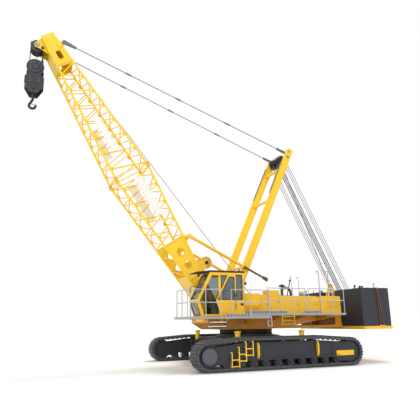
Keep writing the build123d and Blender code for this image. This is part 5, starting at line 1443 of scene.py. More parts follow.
@dataclass(frozen=True)
class Cab(Assembly):
    """Operator's cab: seals, wipers, mirrors, lamps, door fittings, roof ribs, seat and controls."""

    rear: float = 1200
    top_front: float = 2880
    knee_x: float = 3520
    knee_z: float = 2920
    toe_x: float = 3290
    floor: float = 2200
    roof: float = 4180
    roof_top: float = 4268
    inner: float = 1400
    outer: float = 2450
    sill: float = 2960
    post: float = 95
    travel: float = 800
    # Corners of the closed door, and the face of the open one
    door_rear: float = 2440
    door_top: tuple = (2820, 4060)
    door_knee: float = 3420
    door_y: float = 2498
    seat_x: float = 2370
    seat_lean: float = -0.16

    @property
    def middle(self) -> float:
        """Middle of the cab's width."""
        return (self.inner + self.outer) / 2

    def build(self) -> None:
        """Builds the cab's fittings."""
        self.seals()
        self.door_seals()
        self.door_fittings()
        self.lamps()
        self.wipers()
        self.mirrors()
        self.skirt()
        self.seat()
        self.controls()

    def front(self, y: float, z: float, ahead: float = 0.0) -> Point:
        """A point on the cab's front, or ahead of it.

        Args:
            y: how far to the left.
            z: how high.
            ahead: how far ahead of the front.

        Returns:
            The point.
        """
        if z >= self.knee_z:
            share, low, high = (z - self.knee_z) / (self.roof - self.knee_z), self.knee_x, self.top_front
        else:
            share, low, high = (z - self.floor) / (self.knee_z - self.floor), self.toe_x, self.knee_x
        return low + (high - low) * share + ahead, y, z

    def seals(self) -> None:
        """Rubber seals round the fixed windows."""
        seals = self.piece("window_seals", RUBBER)
        near, far = self.inner + self.post, self.outer - self.post
        top = self.roof - self.post
        for low, high in ((self.sill + 48, top), (self.floor + self.post, self.sill - self.post)):
            self._ring(seals, [self.front(y, z, 3) for y, z in ((near, low), (far, low), (far, high), (near, high))])
        rear, front = self.rear + self.post, self.door_rear - self.post
        low_front, high_front = self.door_knee - self.post, self.door_top[0] - self.post
        for y, low_x, high_x in ((self.outer + 2, front, front), (self.inner - 2, low_front, high_front)):
            self._ring(seals, [(rear, y, self.sill), (low_x, y, self.sill), (high_x, y, top), (rear, y, top)])
        x = self.rear - 2
        self._ring(seals, [(x, near, self.sill), (x, far, self.sill), (x, far, top), (x, near, top)])

    @staticmethod
    def _ring(piece: Piece, corners: Sequence[Point], radius: float = 15) -> None:
        """Closed run of seal through four corners."""
        middle = (Vector(corners[0]) + Vector(corners[-1])) / 2
        piece.pipe([middle, *corners, middle], radius, 34, 6)

    def door_seals(self) -> None:
        """Rubber seal round the sliding door's window."""
        seal = self.piece("door_seal", RUBBER, body="cab_door")
        y = self.outer + 50
        rear, low, high = self.door_rear - self.travel + 70, self.sill, self.door_top[1] - 70
        self._ring(seal, [(rear, y, low), (self.door_knee - self.travel - 90, y, low),
                          (self.door_top[0] - self.travel - 70, y, high), (rear, y, high)], 13)

    def door_fittings(self) -> None:
        """Door's grab bar, latch and pressed panel."""
        x, y = self.door_rear - self.travel, self.door_y
        panel = self.piece("door_panel", YELLOW, body="cab_door")
        panel.prism([(x + 70, 2370), (3140 - self.travel, 2370), (3290 - self.travel, 2870), (x + 70, 2870)], y, y + 9)
        bar = self.piece("door_handle", ABS_DARK, body="cab_door")
        bar.pipe([(x + 34, y, 2560), (x + 34, y + 42, 2560), (x + 34, y + 42, 3300), (x + 34, y, 3300)], 13, 36)
        bar.block((x + 20, x + 120), (y - 2, y + 14), (3120, 3180), 5)

    def lamps(self) -> None:
        """Two work lamps under the roof's peak, an amber beacon and pressed ribs on the roof."""
        shells = self.piece("cab_lamp_shells", ABS_DARK)
        lenses = self.piece("cab_lamp_lenses", LENS)
        x, z = 3120, 4110
        for y in (1560, 2290):
            shells.prism([(x - 60, z - 40), (x - 40, z + 44), (x + 46, z + 30), (x + 52, z - 62)], y - 64, y + 64)
            shells.block((x - 20, x + 8), (y - 14, y + 14), (z + 30, z + 84))
            lenses.prism([(x + 47, z + 24), (x + 56, z + 22), (x + 62, z - 58), (x + 53, z - 58)], y - 56, y + 56)
        base = self.piece("beacon_base", ABS_DARK)
        base.lathe((1360, 2310, self.roof_top), UP, [(0, 66), (26, 66), (32, 56)], 20)
        dome = self.piece("beacon_dome", AMBER_LENS)
        dome.lathe((1360, 2310, self.roof_top + 30), UP, [(0, 54), (70, 52), (96, 42), (110, 22), (114, 3)])
        ribs = self.piece("roof_ribs", ANTHRACITE)
        for x in spread(1360, 3010, 5):
            ribs.block((x, x + 60), (self.inner + 60, self.outer - 170), (self.roof_top, self.roof_top + 12), 5)

    def wipers(self) -> None:
        """Parallel-arm wiper on the windscreen and a small one on the lower pane."""
        arms = self.piece("wipers", ABS_DARK)
        low, high = 3060, 3780
        for y, radius in ((1760, 9), (1690, 7)):
            arms.pipe([self.front(y, low, 26), self.front(y + 220, high, 26)], radius, 10, 8)
            arms.lathe(self.front(y, low, 6), (0.92, 0, 0.4), [(0, 26), (22, 24), (28, 16)], 12)
        arms.pipe([self.front(2010, 3300, 17), self.front(1880, 4000, 17)], 9, 10, 6)
        arms.pipe([self.front(1900, 2830, 16), self.front(2110, 2480, 16)], 8, 10, 6)

    def mirrors(self) -> None:
        """Two mirrors on bent arms at the front."""
        arms = self.piece("mirror_arms", ABS_DARK)
        heads = self.piece("mirror_heads", ABS_DARK)
        faces = self.piece("mirror_faces", BRIGHT_STEEL)
        for y, hand in ((2440, 1), (1410, -1)):
            arms.pipe([self.front(y, 3600, -30), (3380, y + hand * 60, 3640), (3410, y + hand * 150, 3560)], 12, 50, 8)
            heads.block((3400, 3434), (y + hand * 70, y + hand * 240), (3300, 3570), 12)
            faces.block((3396, 3401), (y + hand * 82, y + hand * 228), (3314, 3556), 2)

    def skirt(self) -> None:
        """Lower panels, a latch and a grille on the left side, foot mounts and a grab bar on the rear corner."""
        trim = self.piece("cab_trim", YELLOW)
        trim.block((self.rear + 40, 2330), (self.outer, self.outer + 7), (2320, 2880), 6)
        trim.block((self.rear + 60, 3160), (self.inner - 8, self.inner), (2330, 2880), 6)
        trim.block((self.rear - 8, self.rear), (self.inner + 60, self.outer - 60), (2320, 2880), 6)
        fittings = self.piece("cab_side_fittings", RUBBER)
        fittings.block((2236, 2264), (self.outer + 5, self.outer + 24), (2700, 2820), 6)
        fittings.block((1250, 1400), (self.outer + 5, self.outer + 10), (2712, 2802), 3)
        near, far = self.outer + 9, self.outer + 24
        for z in (2724, 2752, 2780):
            fittings.prism([(near, z), (far, z - 8), (far, z - 2), (near, z + 14)], 1256, 1394, "x")
        feet = self.piece("cab_feet", RUBBER)
        for x, y in ((1320, 1520), (1320, 2330), (3050, 1520), (3050, 2330)):
            feet.lathe((x, y, 2180), UP, [(0, 88), (8, 88), (14, 78), (20, 86)], 20)
        bar = self.piece("cab_grab_bars", RAIL_ZINC)
        x, y = self.rear + 30, self.outer
        bar.pipe([(x, y, 2700), (x, y + 62, 2700), (x, y + 62, 3900), (x, y, 3900)], 14, 50)

    def seat(self) -> None:
        """Operator's seat: crowned cushion and back with side bolsters on a pedestal, and two arm rests."""
        floor, middle = self.floor + 46, self.middle
        pedestal = self.piece("seat_pedestal", ABS_DARK)
        pedestal.lathe((self.seat_x, middle, floor), UP, [(0, 170), (18, 170), (30, 120), (60, 110)], 20)
        pedestal.block((2190, 2570), (middle - 170, middle + 170), (floor + 60, floor + 300), 30)
        pedestal.block((2150, 2620), (middle - 200, middle + 200), (floor + 300, floor + 400), 20)
        for y in (middle + 235, middle - 235):
            pedestal.pipe([(2200, y, floor + 470), (2200, y, floor + 700), (2520, y, floor + 700)], 26)
        base = self.crane.frame(self.body)
        hinge = Matrix.Translation(base @ Vector((2130, 0, floor + 540)))
        lean = hinge @ Matrix.Rotation(self.seat_lean, 4, "Y") @ Matrix.Scale(MM, 4)
        cushion = self._pad("seat_cushion", base, (2150, 2670), (middle - 240, middle + 240),
                            (floor + 404, floor + 566))
        back = self._pad("seat_back", lean, (0, 130), (middle - 225, middle + 225), (0, 620))
        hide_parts("cab_seat")

    def _pad(self, name: str, frame: Matrix, x: Point, y: Point, z: Point) -> bpy.types.Object:
        """Crowned pad with pulled-in sides, side bolsters and two sewn channels.

        Args:
            name: the piece's name.
            frame: the local frame.
            x: both ends of its length.
            y: both ends of its width.
            z: both ends of its height.

        Returns:
            The object.
        """
        across, along = 24, 18
        flat = abs(z[1] - z[0]) < abs(x[1] - x[0])
        thick, length = (z, x) if flat else (x, z)
        pad = Piece(name, self.body, SEAT_CLOTH, frame)

        def spot(row: int, column: int, sewn: bool) -> Point:
            """Point of the face at a row and a column, pressed in at the channels where it is sewn."""
            v, u = row / along, column / across
            crown = 1 - math.exp(-min(u, 1 - u, v, 1 - v) * 14)
            bolster = 0.16 * math.exp(-((min(u, 1 - u) - 0.12) / 0.07) ** 2)
            channel = 0.10 * sum(math.exp(-((v - seam) / 0.02) ** 2) for seam in (0.33, 0.66))
            high = 0.55 + 0.35 * crown + bolster - channel if sewn else 0
            run, wide, rise = (ends[0] + (ends[1] - ends[0]) * share
                               for ends, share in ((length, v), (y, u), (thick, high)))
            return (run, wide, rise) if flat else (rise, wide, run)

        top, low = ([pad.points([spot(row, column, sewn) for column in range(across + 1)]) for row in range(along + 1)]
                    for sewn in (True, False))
        for sheet in (top, low):
            for near, far in zip(sheet[:-1], sheet[1:]):
                for column in range(across):
                    pad.mesh.faces.new((near[column], far[column], far[column + 1], near[column + 1]))
        rims = [[*sheet[0][:-1], *[row[-1] for row in sheet[:-1]], *sheet[-1][:0:-1],
                 *[row[0] for row in sheet[:0:-1]]] for sheet in (low, top)]
        for index in range(len(rims[0])):
            pad.mesh.faces.new((rims[0][index - 1], rims[0][index], rims[1][index], rims[1][index - 1]))
        return pad.done()

    def controls(self) -> None:
        """Joysticks, a blank screen on an arm, and pedals."""
        sticks = self.piece("joysticks", RUBBER)
        for y in (self.middle - 350, self.middle + 350):
            sticks.lathe((2640, y, 2926), (0.15, 0, 1), [(0, 46), (30, 40), (60, 20), (120, 15), (150, 26), (220, 24),
                                                         (240, 10)], 14)
        screen = self.piece("cab_screen", ABS_DARK)
        screen.pipe([(2760, 1560, 2900), (2900, 1590, 3050), (2960, 1620, 3260)], 16, 60, 8)
        screen.block((2950, 2990), (1500, 1770), (3200, 3400), 12)
        pedals = self.piece("pedals", ABS_DARK)
        for y in (self.middle - 110, self.middle + 110):
            pedals.prism([(2980, 2250), (3060, 2250), (3120, 2330), (3108, 2342)], y - 45, y + 45)


@dataclass(frozen=True)
class Winches(Assembly):
    """Rope layers, flange bolts and geared motors of the two house winches and the boom's auxiliary winch.

    A winch's place is its axis as the local x and z.
    """

    hoist: tuple = (-700, 2760)
    luff: tuple = (-2600, 2760)
    aux: tuple = (2290, 1000)
    span_y: float = 1150
    aux_span: float = 760
    motor_y: float = 676
    spill: float = 44

    def build(self) -> None:
        """Builds all three winches' dressing."""
        for name, place, span, drum, rope, bolts in (("hoist", self.hoist, self.span_y, 230, 15, 330),
                                                     ("luff", self.luff, self.span_y, 230, 15, 330),
                                                     ("aux", self.aux, self.aux_span, 180, 12, 262)):
            self.wraps(name, place, drum, span / 2 - self.spill, rope)
            self.flanges(name, place, span / 2, bolts)
        self.motor("hoist", self.hoist, Side.LEFT)
        self.motor("luff", self.luff, Side.RIGHT)
        self.aux_motor()

    def wraps(self, name: str, place: Point, radius: float, half: float, rope: float) -> None:
        """Turns of rope side by side on a drum.

        Args:
            name: the winch's name.
            place: the drum's axis.
            radius: the drum's radius.
            half: half the wound width.
            rope: the rope's radius.
        """
        wound = self.piece(f"rope_layers_{name}", DARK_ROPE, body=f"drum_{name}")
        turns = int(half / rope)
        width = turns * 2 * rope
        valley, crest = radius + rope * 1.1, radius + rope * 1.85
        profile = [(0, radius - 4)]
        for start in spread(0, width, turns):
            profile += [(start + 0.2, valley), (start + rope * 0.5, crest), (start + rope * 1.5, crest)]
        profile += [(width, valley), (width + 0.4, radius - 4)]
        wound.lathe((place[0], -turns * rope, place[1]), OUT, profile, 36)

    def flanges(self, name: str, place: Point, half: float, radius: float) -> None:
        """Bolts and a pressed ring on both flanges of a drum.

        Args:
            name: the winch's name.
            place: the drum's axis.
            half: half the width over the flanges.
            radius: the bolts' circle.
        """
        bolts = self.piece(f"flange_bolts_{name}", ZINC_BOLT, body=f"drum_{name}")
        centre = (place[0], half, place[1])
        for _ in both_sides(bolts):
            bolts.bolt_ring(centre, OUT, radius, 16, 26)
            bolts.lathe(centre, OUT, [(0, radius - 46), (7, radius - 50), (7, radius - 74), (0, radius - 78)], 36, True)

    def motor(self, name: str, place: Point, side: Side) -> None:
        """Planetary gear housing and hydraulic motor outside the drum's stand on one side, with two hoses.

        Args:
            name: the winch's name.
            place: the drum's axis.
            side: side they stand on.
        """
        (x, z), y = place, self.motor_y
        case = self.piece(f"motor_{name}", SIGNAL_GREY)
        hoses = self.piece(f"motor_hoses_{name}", RUBBER)
        case.hand = hoses.hand = side.value
        case.lathe((x, y, z), OUT, [(0, 190), (24, 190), (30, 170), (120, 166), (128, 120), (196, 112),
                                    (204, 70), (292, 66), (300, 40)], 28)
        case.lathe((x, -y, z), (0, -1, 0), [(0, 150), (20, 150), (26, 96), (70, 90), (76, 50)])
        case.bolt_ring((x, y + 22, z), OUT, 180, 12, 20)
        for run in (x - 40, x + 40):
            hoses.pipe([(run, y + 236, z - 60), (run, y + 236, z - 200), (run + 120, y + 160, 2400),
                        (run + 120, y + 160, FRAME_TOP)], 17, 90, 8)

    def aux_motor(self) -> None:
        """Dark gear hubs and yellow flange rings of the auxiliary winch."""
        s, t = self.aux
        y = self.aux_span / 2 + 48
        hub = self.piece("aux_motor", ANTHRACITE, body="boom")
        ring = self.piece("aux_motor_ring", YELLOW, body="boom")
        for _ in both_sides(hub, ring):
            ring.lathe((s, y, t), OUT, [(0, 128), (14, 128), (18, 118), (18, 92), (4, 90)], 28)
            hub.lathe((s, y + 4, t), OUT, [(0, 90), (60, 88), (66, 64), (118, 60), (124, 30)])
        ring.bolt_ring((s, y + 16, t), OUT, 106, 10, 16)


@dataclass(frozen=True)
class Counterweight(Assembly):
    """Slab joints, pins on the top, tie rods with their brackets, and the tray's lips and ribs."""

    front: float = -5110
    rear: float = -6880
    inner: float = 720
    outer: float = 2900
    low: float = 1670
    top: float = 3575
    slabs: int = 5
    clamp_x: tuple = (-6130, -6000)

    def build(self) -> None:
        """Builds both stacks' dressing."""
        for side in Side:
            self.joints(side)
            self.pins(side)
            self.tie_rods(side)
        self.tray()

    def joints(self, side: Side) -> None:
        """Hairline joints between the slabs on the faces that show."""
        joints = self.piece("slab_joints", RUBBER, side)
        for z in spread(self.low, self.top, self.slabs)[1:]:
            joints.block((self.front - 1, self.front + 1), (self.inner, self.outer - 130), (z - 3, z + 3), 0.5)
            joints.block((self.rear + 130, self.front - 130), (self.outer - 1, self.outer + 1), (z - 3, z + 3), 0.5)

    def pins(self, side: Side) -> None:
        """Knob near the stack's front edge and a thin pin over the tie rods, each on a small base."""
        pins = self.piece("stack_knob", BRICK_RED, side)
        for x, y, radius, high in ((self.front - 130, 2260, 62, 190), (-6080, 2700, 30, 250)):
            pins.lathe((x, y, self.top), UP,
                       [(0, radius * 1.7), (14, radius * 1.7), (18, radius * 0.6), (high - radius * 1.6, radius * 0.6),
                        (high - radius * 1.2, radius), (high - radius * 0.5, radius), (high, radius * 0.5)], 18)

    def tie_rods(self, side: Side) -> None:
        """Two rods in a narrow V down the outer face, from the top's clamp to the tray's yellow bracket."""
        rods = self.piece("tie_rods", BRICK_RED, side)
        face = self.outer + 34
        for top_x, foot_x in ((-6040, -6110), (-6090, -6290)):
            rods.rod((top_x, face, self.top - 40), (foot_x, face, self.low + 20), 19)
            rods.lathe((foot_x, face, self.low + 150), (0, 0, -1), [(0, 30), (90, 30), (100, 20)], 6)
        rods.block(self.clamp_x, (self.outer - 2, self.outer + 60), (self.top - 110, self.top - 20), 8)
        rods.block(self.clamp_x, (2690, self.outer + 4), (self.top, self.top + 20), 5)
        bracket = self.piece("tie_bracket", YELLOW, side)
        bracket.block((-6370, -6030), (self.outer - 2, self.outer + 66), (self.low - 6, self.low + 60), 10)

    def tray(self) -> None:
        """Ribs, lips and front gussets of the tray."""
        lip = self.piece("tray_lip", YELLOW)
        for _ in both_sides(lip):
            for x in (-5400, -5900, -6400):
                lip.block((x - 14, x + 14), (2580, self.outer - 4), (1548, self.low - 2), 5)
            lip.block((-6870, -5120), (self.outer, self.outer + 12), (1548, 1690))
            lip.block((-5110, -5090), (760, 2890), (1560, 1700))
            lip.prism([(-5090, 1700), (-5090, 1790), (-5060, 1790), (-4960, 1700)], 1160, 1200)


# ---------------------------------------------------------------- boom, mast and rigging

@dataclass(frozen=True)
class BoomDress(Assembly):
    """Pins, gussets, bare panels, plate strips, rungs, the head's guards and the backstops' rods."""

    body = "boom"
    guard_ring: float = 336
    head_y: float = 556
    hole_s: float = 14810
    # One leg of the backstops' fork: distance back from its end, height
    fork: tuple = ((330, 40), (250, 40), (40, 62), (10, 84), (60, 92), (300, 64))

    def build(self) -> None:
        """Builds everything that rides on the boom."""
        self.foot_pins()
        self.section_pins()
        self.gussets()
        self.plate_frames()
        self.bare_panels()
        self.rungs()
        self.head()
        self.guide_roller()
        self.backstop_rods()

    @staticmethod
    def corner(s: float, back: int) -> tuple[float, float]:
        """Where the left chord at the front (-1) or back (1) is at a distance from the foot, as the local y and z."""
        return BOOM.breadth(s) / 2, back * BOOM.depth(s) / 2

    def backstop_rods(self) -> None:
        """Dark sliding rods of the backstops, with a gland at the tube's end and a forked foot."""
        rods = self.piece("backstop_rods", BROWN_ENAMEL, body="backstops")
        y, end = BOOM.stop_y, BOOM.stop_reach
        for _ in both_sides(rods):
            rods.lathe((BOOM.stop_tube - 60, y, 0), AHEAD, [(0, 77), (8, 84), (72, 84), (84, 60), (96, 50),
                                                            (end - BOOM.stop_tube + 50, 50)], 20)
            for lift in (-1, 1):
                rods.prism([(end - back, lift * up) for back, up in self.fork], y - 34, y + 34)

    def foot_pins(self) -> None:
        """Keeper plates and pin heads at the feet of the boom and the mast."""
        pins = self.piece("foot_pins", BRIGHT_STEEL, body="upper")
        keepers = self.piece("foot_keepers", YELLOW, body="upper")
        for x, z, y, radius in ((1850, 2430, 872, 66), (1330, 2500, 1137, 60)):
            top = z + radius
            for _ in both_sides(pins, keepers):
                pins.lathe((x, y - 2, z), OUT, [(0, radius), (22, radius), (28, radius - 8), (28, 0.5)])
                keepers.block((x - 90, x + 90), (y, y + 16), (top - 6, top + 40), 6)
                keepers.bolts([(x - 60, y + 14, top + 18), (x + 60, y + 14, top + 18)], OUT, 24)

    def section_pins(self) -> None:
        """Joint pins through the four corners where the two sections meet, with spring clips."""
        pins = self.piece("section_pins", BRIGHT_STEEL)
        forks = self.piece("section_forks", YELLOW)
        s = BOOM.joint_s
        at = s + 52
        for _ in both_sides(pins, forks):
            for y, t in (self.corner(s, 1), self.corner(s, -1)):
                pins.rod((at, y - 116, t), (at, y + 116, t), 32, 14)
                pins.pipe([(at, y + 112, t - 40), (at, y + 124, t), (at, y + 112, t + 44)], 5, 20, 6)
                for lane in (-92, 92):
                    forks.prism([(s - 96, t - 74), (s + 70, t - 74), (s + 108, t), (s + 70, t + 74), (s - 96, t + 74)],
                                y + lane - 10, y + lane + 10)

    def gussets(self) -> None:
        """Small web plates where the lacing meets the chords."""
        webs = self.piece("lacing_gussets", YELLOW)
        for start, end, bays in ((BOOM.plated, 7870, 4), (8130, BOOM.head_start, 7)):
            for index, s in enumerate(spread(start, end, 2 * bays)[1:]):
                back = 1 if index % 2 else -1
                y, t = self.corner(s, back)
                near, far = t - back * 44, t - back * 128
                for _ in both_sides(webs):
                    webs.prism([(s - 120, near), (s + 120, near), (s + 66, far), (s - 66, far)], y - 5, y + 5)

    def plate_frames(self) -> None:
        """Cross strips and bolted covers on the plated foot."""
        strips = self.piece("foot_plate_strips", YELLOW)
        bolts = self.piece("foot_plate_bolts", ZINC_BOLT)
        face = BOOM.width / 2 + 15
        for _ in both_sides(strips, bolts):
            for s in (760, 2010, BOOM.plated - 60):
                half = BOOM.depth(s) / 2 - 66
                strips.block((s - 22, s + 22), (face, face + 14), (-half, half), 5)
            strips.prism([(900, -90), (1850, -150), (1850, 150), (900, 90)], face, face + 8)
            bolts.bolts([(s, face + 8, t) for s in (960, 1240, 1520, 1790) for t in (-70, 70)], OUT, 22)

    def bare_panels(self) -> None:
        """Bare white panels clamped to the lacing on both sides, one below the joint and one above it."""
        panels = self.piece("bare_panels", PANEL_WHITE)
        clamps = self.piece("panel_clamps", LIGHT_ALLOY)
        for low, high, middle, half in ((5500, 7650, 110, 215), (9350, 11050, -130, 170)):
            corners = [(low, middle - half), (high, middle - half), (high, middle + half), (low, middle + half)]
            for _ in both_sides(panels, clamps):
                panels.skin([panels.points([(s, BOOM.breadth(s) / 2 + 32 + lift, t) for s, t in corners])
                             for lift in (0, 8)])
                for s in spread(low, high, 4, 0.5):
                    y = BOOM.breadth(s) / 2 + 34
                    for t in (middle - half + 26, middle + half - 26):
                        clamps.block((s - 22, s + 22), (y + 4, y + 16), (t - 14, t + 14), 3)

    def rungs(self) -> None:
        """Climbing rungs on the back of the boom's head and beside the foot."""
        rungs = self.piece("boom_rungs", RAIL_ZINC)
        for s in spread(14420, 15770, 5):
            t = BOOM.depth(s) / 2 + 14
            rungs.pipe([(s, -150, t), (s, -150, t + 70), (s, 150, t + 70), (s, 150, t)], 11, 24, 8)
        y = -BOOM.width / 2 - 14
        for s in spread(1150, 3250, 7):
            rungs.pipe([(s, y, 110), (s, y - 62, 110), (s, y - 62, -110), (s, y, -110)], 11, 24, 8)

    def head(self) -> None:
        """Sheave guards, axle caps, strips, a ring of bolts round the hole, a limit switch and an obstruction lamp."""
        s, t = BOOM.axle_s, -BOOM.axle_ahead
        guards = self.piece("head_guards", ANTHRACITE)
        for turn in (150, 210, 330):
            along, up = turned(self.guard_ring, math.radians(turn))
            guards.rod((s + along, -330, t + up), (s + along, 330, t + up), 16, 10)
        caps = self.piece("head_axle_caps", BRIGHT_STEEL)
        strips = self.piece("head_strips", YELLOW)
        for _ in both_sides(caps, strips):
            caps.lathe((s, 368, t), OUT, [(0, 118), (16, 118), (20, 96), (20, 60), (34, 54), (34, 0.5)], 28)
            caps.bolt_ring((s, 386, t), OUT, 78, 6, 18)
            caps.lathe((15300, 676, 480), OUT, [(0, 44), (14, 44), (18, 34)], 16)
            strips.block((14300, 14340), (self.head_y, self.head_y + 20), (-330, 330), 6)
            strips.block((15880, 15920), (512, 542), (-230, 230), 6)
            strips.bolt_ring((self.hole_s, 540, 0), OUT, 196, 12, 18)
        switch = self.piece("limit_switch", ABS_DARK)
        switch.block((15420, 15560), (374, 440), (-560, -470), 10)
        switch.pipe([(15490, 408, -560), (15440, 408, -700), (15300, 408, -760)], 9, 30, 8)
        lamp = self.piece("head_lamp", AMBER_LENS)
        lamp.lathe((15860, 0, 296), UP, [(0, 40), (50, 38), (74, 24), (82, 4)], 20)

    def guide_roller(self) -> None:
        """Rope guide roller on two yellow brackets behind the head."""
        bracket = self.piece("guide_brackets", YELLOW)
        for y in (-250, 250):
            bracket.prism([(15040, 270), (15420, 270), (15300, 470), (15180, 470)], y - 14, y + 14)
        roller = self.piece("guide_roller", BRIGHT_STEEL)
        roller.lathe((15240, -232, 410), OUT, [(0, 60), (10, 60), (14, 46), (450, 46), (454, 60), (464, 60)])


@dataclass(frozen=True)
class MastDress(Assembly):
    """Strips along the mast's legs, pin caps, sheave guards, hoses and the stays' pins."""

    body = "mast"
    leg_y: float = 1010
    leg_half: float = 95
    depth: float = 360
    axle: float = 9150
    guard_ring: float = 312
    stay: tuple = (9480, -60)

    def build(self) -> None:
        """Builds everything that rides on the mast."""
        outer, inner = self.leg_y + self.leg_half, self.leg_y - self.leg_half
        strips = self.piece("mast_strips", YELLOW)
        caps = self.piece("mast_caps", BRIGHT_STEEL)
        hoses = self.piece("mast_hose", DARK_ROPE)
        pins = self.piece("stay_pins", BRIGHT_STEEL)
        for _ in both_sides(strips, caps, hoses, pins):
            for face, out in ((outer, 1), (inner, -1)):
                for edge in (-self.depth / 2 + 22, self.depth / 2 - 22):
                    strips.block((700, 8600), (face, face + out * 7), (edge - 9, edge + 9), 3)
                for s in (1000, 4700, 7400):
                    strips.block((s, s + 26), (face, face + out * 9), (-150, 150))
            for s, t, radius in ((self.axle, 0, 92), (*self.stay, 58)):
                caps.lathe((s, outer, t), OUT, [(0, radius), (14, radius), (18, radius - 12), (18, radius - 40),
                                                (30, radius - 44), (30, 0.5)])
            caps.bolt_ring((self.axle, outer + 14, 0), OUT, 74, 6, 16)
            self.hose(hoses, inner + 40)
            pins.lathe((self.stay[0], 758, self.stay[1]), (0, -1, 0), [(0, 46), (12, 46), (16, 36)], 16)
        self.guards()

    def guards(self) -> None:
        """Rods round the mast's sheaves, and the plates between them."""
        guards = self.piece("mast_guards", ANTHRACITE)
        for turn in (60, 180, 300):
            along, up = turned(self.guard_ring, math.radians(turn))
            guards.rod((self.axle + along, -560, up), (self.axle + along, 560, up), 14, 10)
        for y in (-566, -80, 80, 566):
            guards.prism([(self.axle - 190, -120), (self.axle + 190, -120), (self.axle + 250, 0),
                          (self.axle + 190, 120), (self.axle - 190, 120), (self.axle - 250, 0)], y - 8, y + 8)

    @staticmethod
    def hose(hoses: Piece, y: float) -> None:
        """Hose along the underside of one leg, with its clips.

        Args:
            hoses: piece that gets it.
            y: the leg's place across.
        """
        hoses.pipe([(9020, y, -160), (8900, y, -212), (6800, y, -212), (6700, y, -170)], 26, 70)
        for s in (7100, 7600, 8100, 8600):
            hoses.block((s - 16, s + 16), (y - 36, y + 36), (-216, -178), 5)


@dataclass(frozen=True)
class Rigging(Assembly):
    """Running ropes: the luffing parts, the hoist line along the boom and the thin pair from the rear bracket."""

    rope: float = 16
    thin_rope: float = 11
    lanes: tuple = (-480, -320, -160, 160, 320, 480)
    tail: tuple = (-6450, 0, 2760)
    mast_axle: tuple = (9150, 0, 0)
    sheave_reach: float = 0.25          # in metres, from a sheave's axle to its ropes
    bracket: tuple = (-5380, 3900)
    pair_y: tuple = (-34, 34)

    def build(self) -> None:
        """Builds all running ropes, the rear bracket and the block's socket."""
        self.luffing()
        self.hoist_line()
        self.thin_pair()
        self.rear_bracket()
        self.block_socket()

    @staticmethod
    def stretch(name: str, body: str, start: Vector, end: Vector, radius: float) -> None:
        """Straight rope from the upper works to another body, with vertices only at its two ends.

        Args:
            name: the piece's name.
            body: the body at its far end; not used.
            start: its end on the upper works, in metres.
            end: its end on the other body, in metres.
            radius: its radius in millimetres.
        """
        line = Piece(name, "", ROPE, Matrix.Scale(MM, 4))
        run = (end - start) * 1000
        line.lathe(start * 1000, run, [(0, radius), (run.length, radius)], 8)
        made = line.done()
        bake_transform(made)

    def luffing(self) -> None:
        """Twelve parallel parts of rope between the tail of the frame and the mast's sheaves."""
        low = self.crane.frame("upper") @ Vector(self.tail)
        high = self.crane.frame("mast") @ Vector(self.mast_axle)
        run = (high - low).normalized()
        side = Vector((-run.z, 0, run.x)) * self.sheave_reach
        for index, lane in enumerate(self.lanes):
            for way, sense in (("a", 1), ("b", -1)):
                shift = side * sense + Vector((0, lane * MM, 0))
                self.stretch(f"luffing_rope_{index}{way}", "mast", low + shift, high + shift, self.rope)

    def hoist_line(self) -> None:
        """Hoist rope from the front winch over the boom's back to its head."""
        roller = (15240, 60, 466)
        self.stretch("hoist_line", "boom", self.crane.frame("upper") @ Vector((-560, 120, 2995)),
                     self.crane.frame("boom") @ Vector(roller), self.rope)
        head = self.piece("hoist_line_head", ROPE, body="boom")
        head.pipe([roller, (15560, 75, 440), (16020, 75, -380), (16028, 75, -650)], self.rope, 200)

    def thin_pair(self) -> None:
        """Two thin ropes from the rear bracket's sheave up to the mast head."""
        x, z = self.bracket
        for index, y in enumerate(self.pair_y):
            self.stretch(f"thin_rope_{index}", "mast", self.crane.frame("upper") @ Vector((x + 70, y, z + 30)),
                         self.crane.frame("mast") @ Vector((9420, y, 60)), self.thin_rope)

    def rear_bracket(self) -> None:
        """Yellow two-legged bracket on the tail, whose dark sheave leads the thin pair."""
        x, z = self.bracket
        legs = self.piece("rear_bracket", YELLOW)
        for y in (-92, 92):
            for foot, lean in ((-4760, 30), (-6060, -30)):
                legs.rod((foot, y, FRAME_TOP), (x + lean, y, z + 6), 42)
                legs.block((foot - 110, foot + 110), (y - 80, y + 80), (FRAME_TOP, FRAME_TOP + 24), 6)
            legs.block((x - 90, x + 90), (y - 14, y + 14), (z - 110, z + 80), 20)
        legs.rod((-5620, -92, 3330), (-5620, 92, 3330), 26, 10)
        sheave = self.piece("rear_sheave", ANTHRACITE)
        for y in self.pair_y:
            sheave.lathe((x, y - 24, z), OUT, [(0, 98), (6, 104), (14, 104), (20, 84), (28, 84), (34, 104), (42, 104),
                                               (48, 98)], 28)
        sheave.rod((x, -120, z), (x, 120, z), 28, 14)

    def block_socket(self) -> None:
        """Wedge socket and clip at the hoist rope's dead end."""
        socket = self.piece("rope_socket", ANTHRACITE, body="hook_block")
        socket.prism([(-352, 330), (-232, 330), (-262, 560), (-322, 560)], 196, 254)
        socket.block((-320, -264), (204, 246), (560, 610), 8)


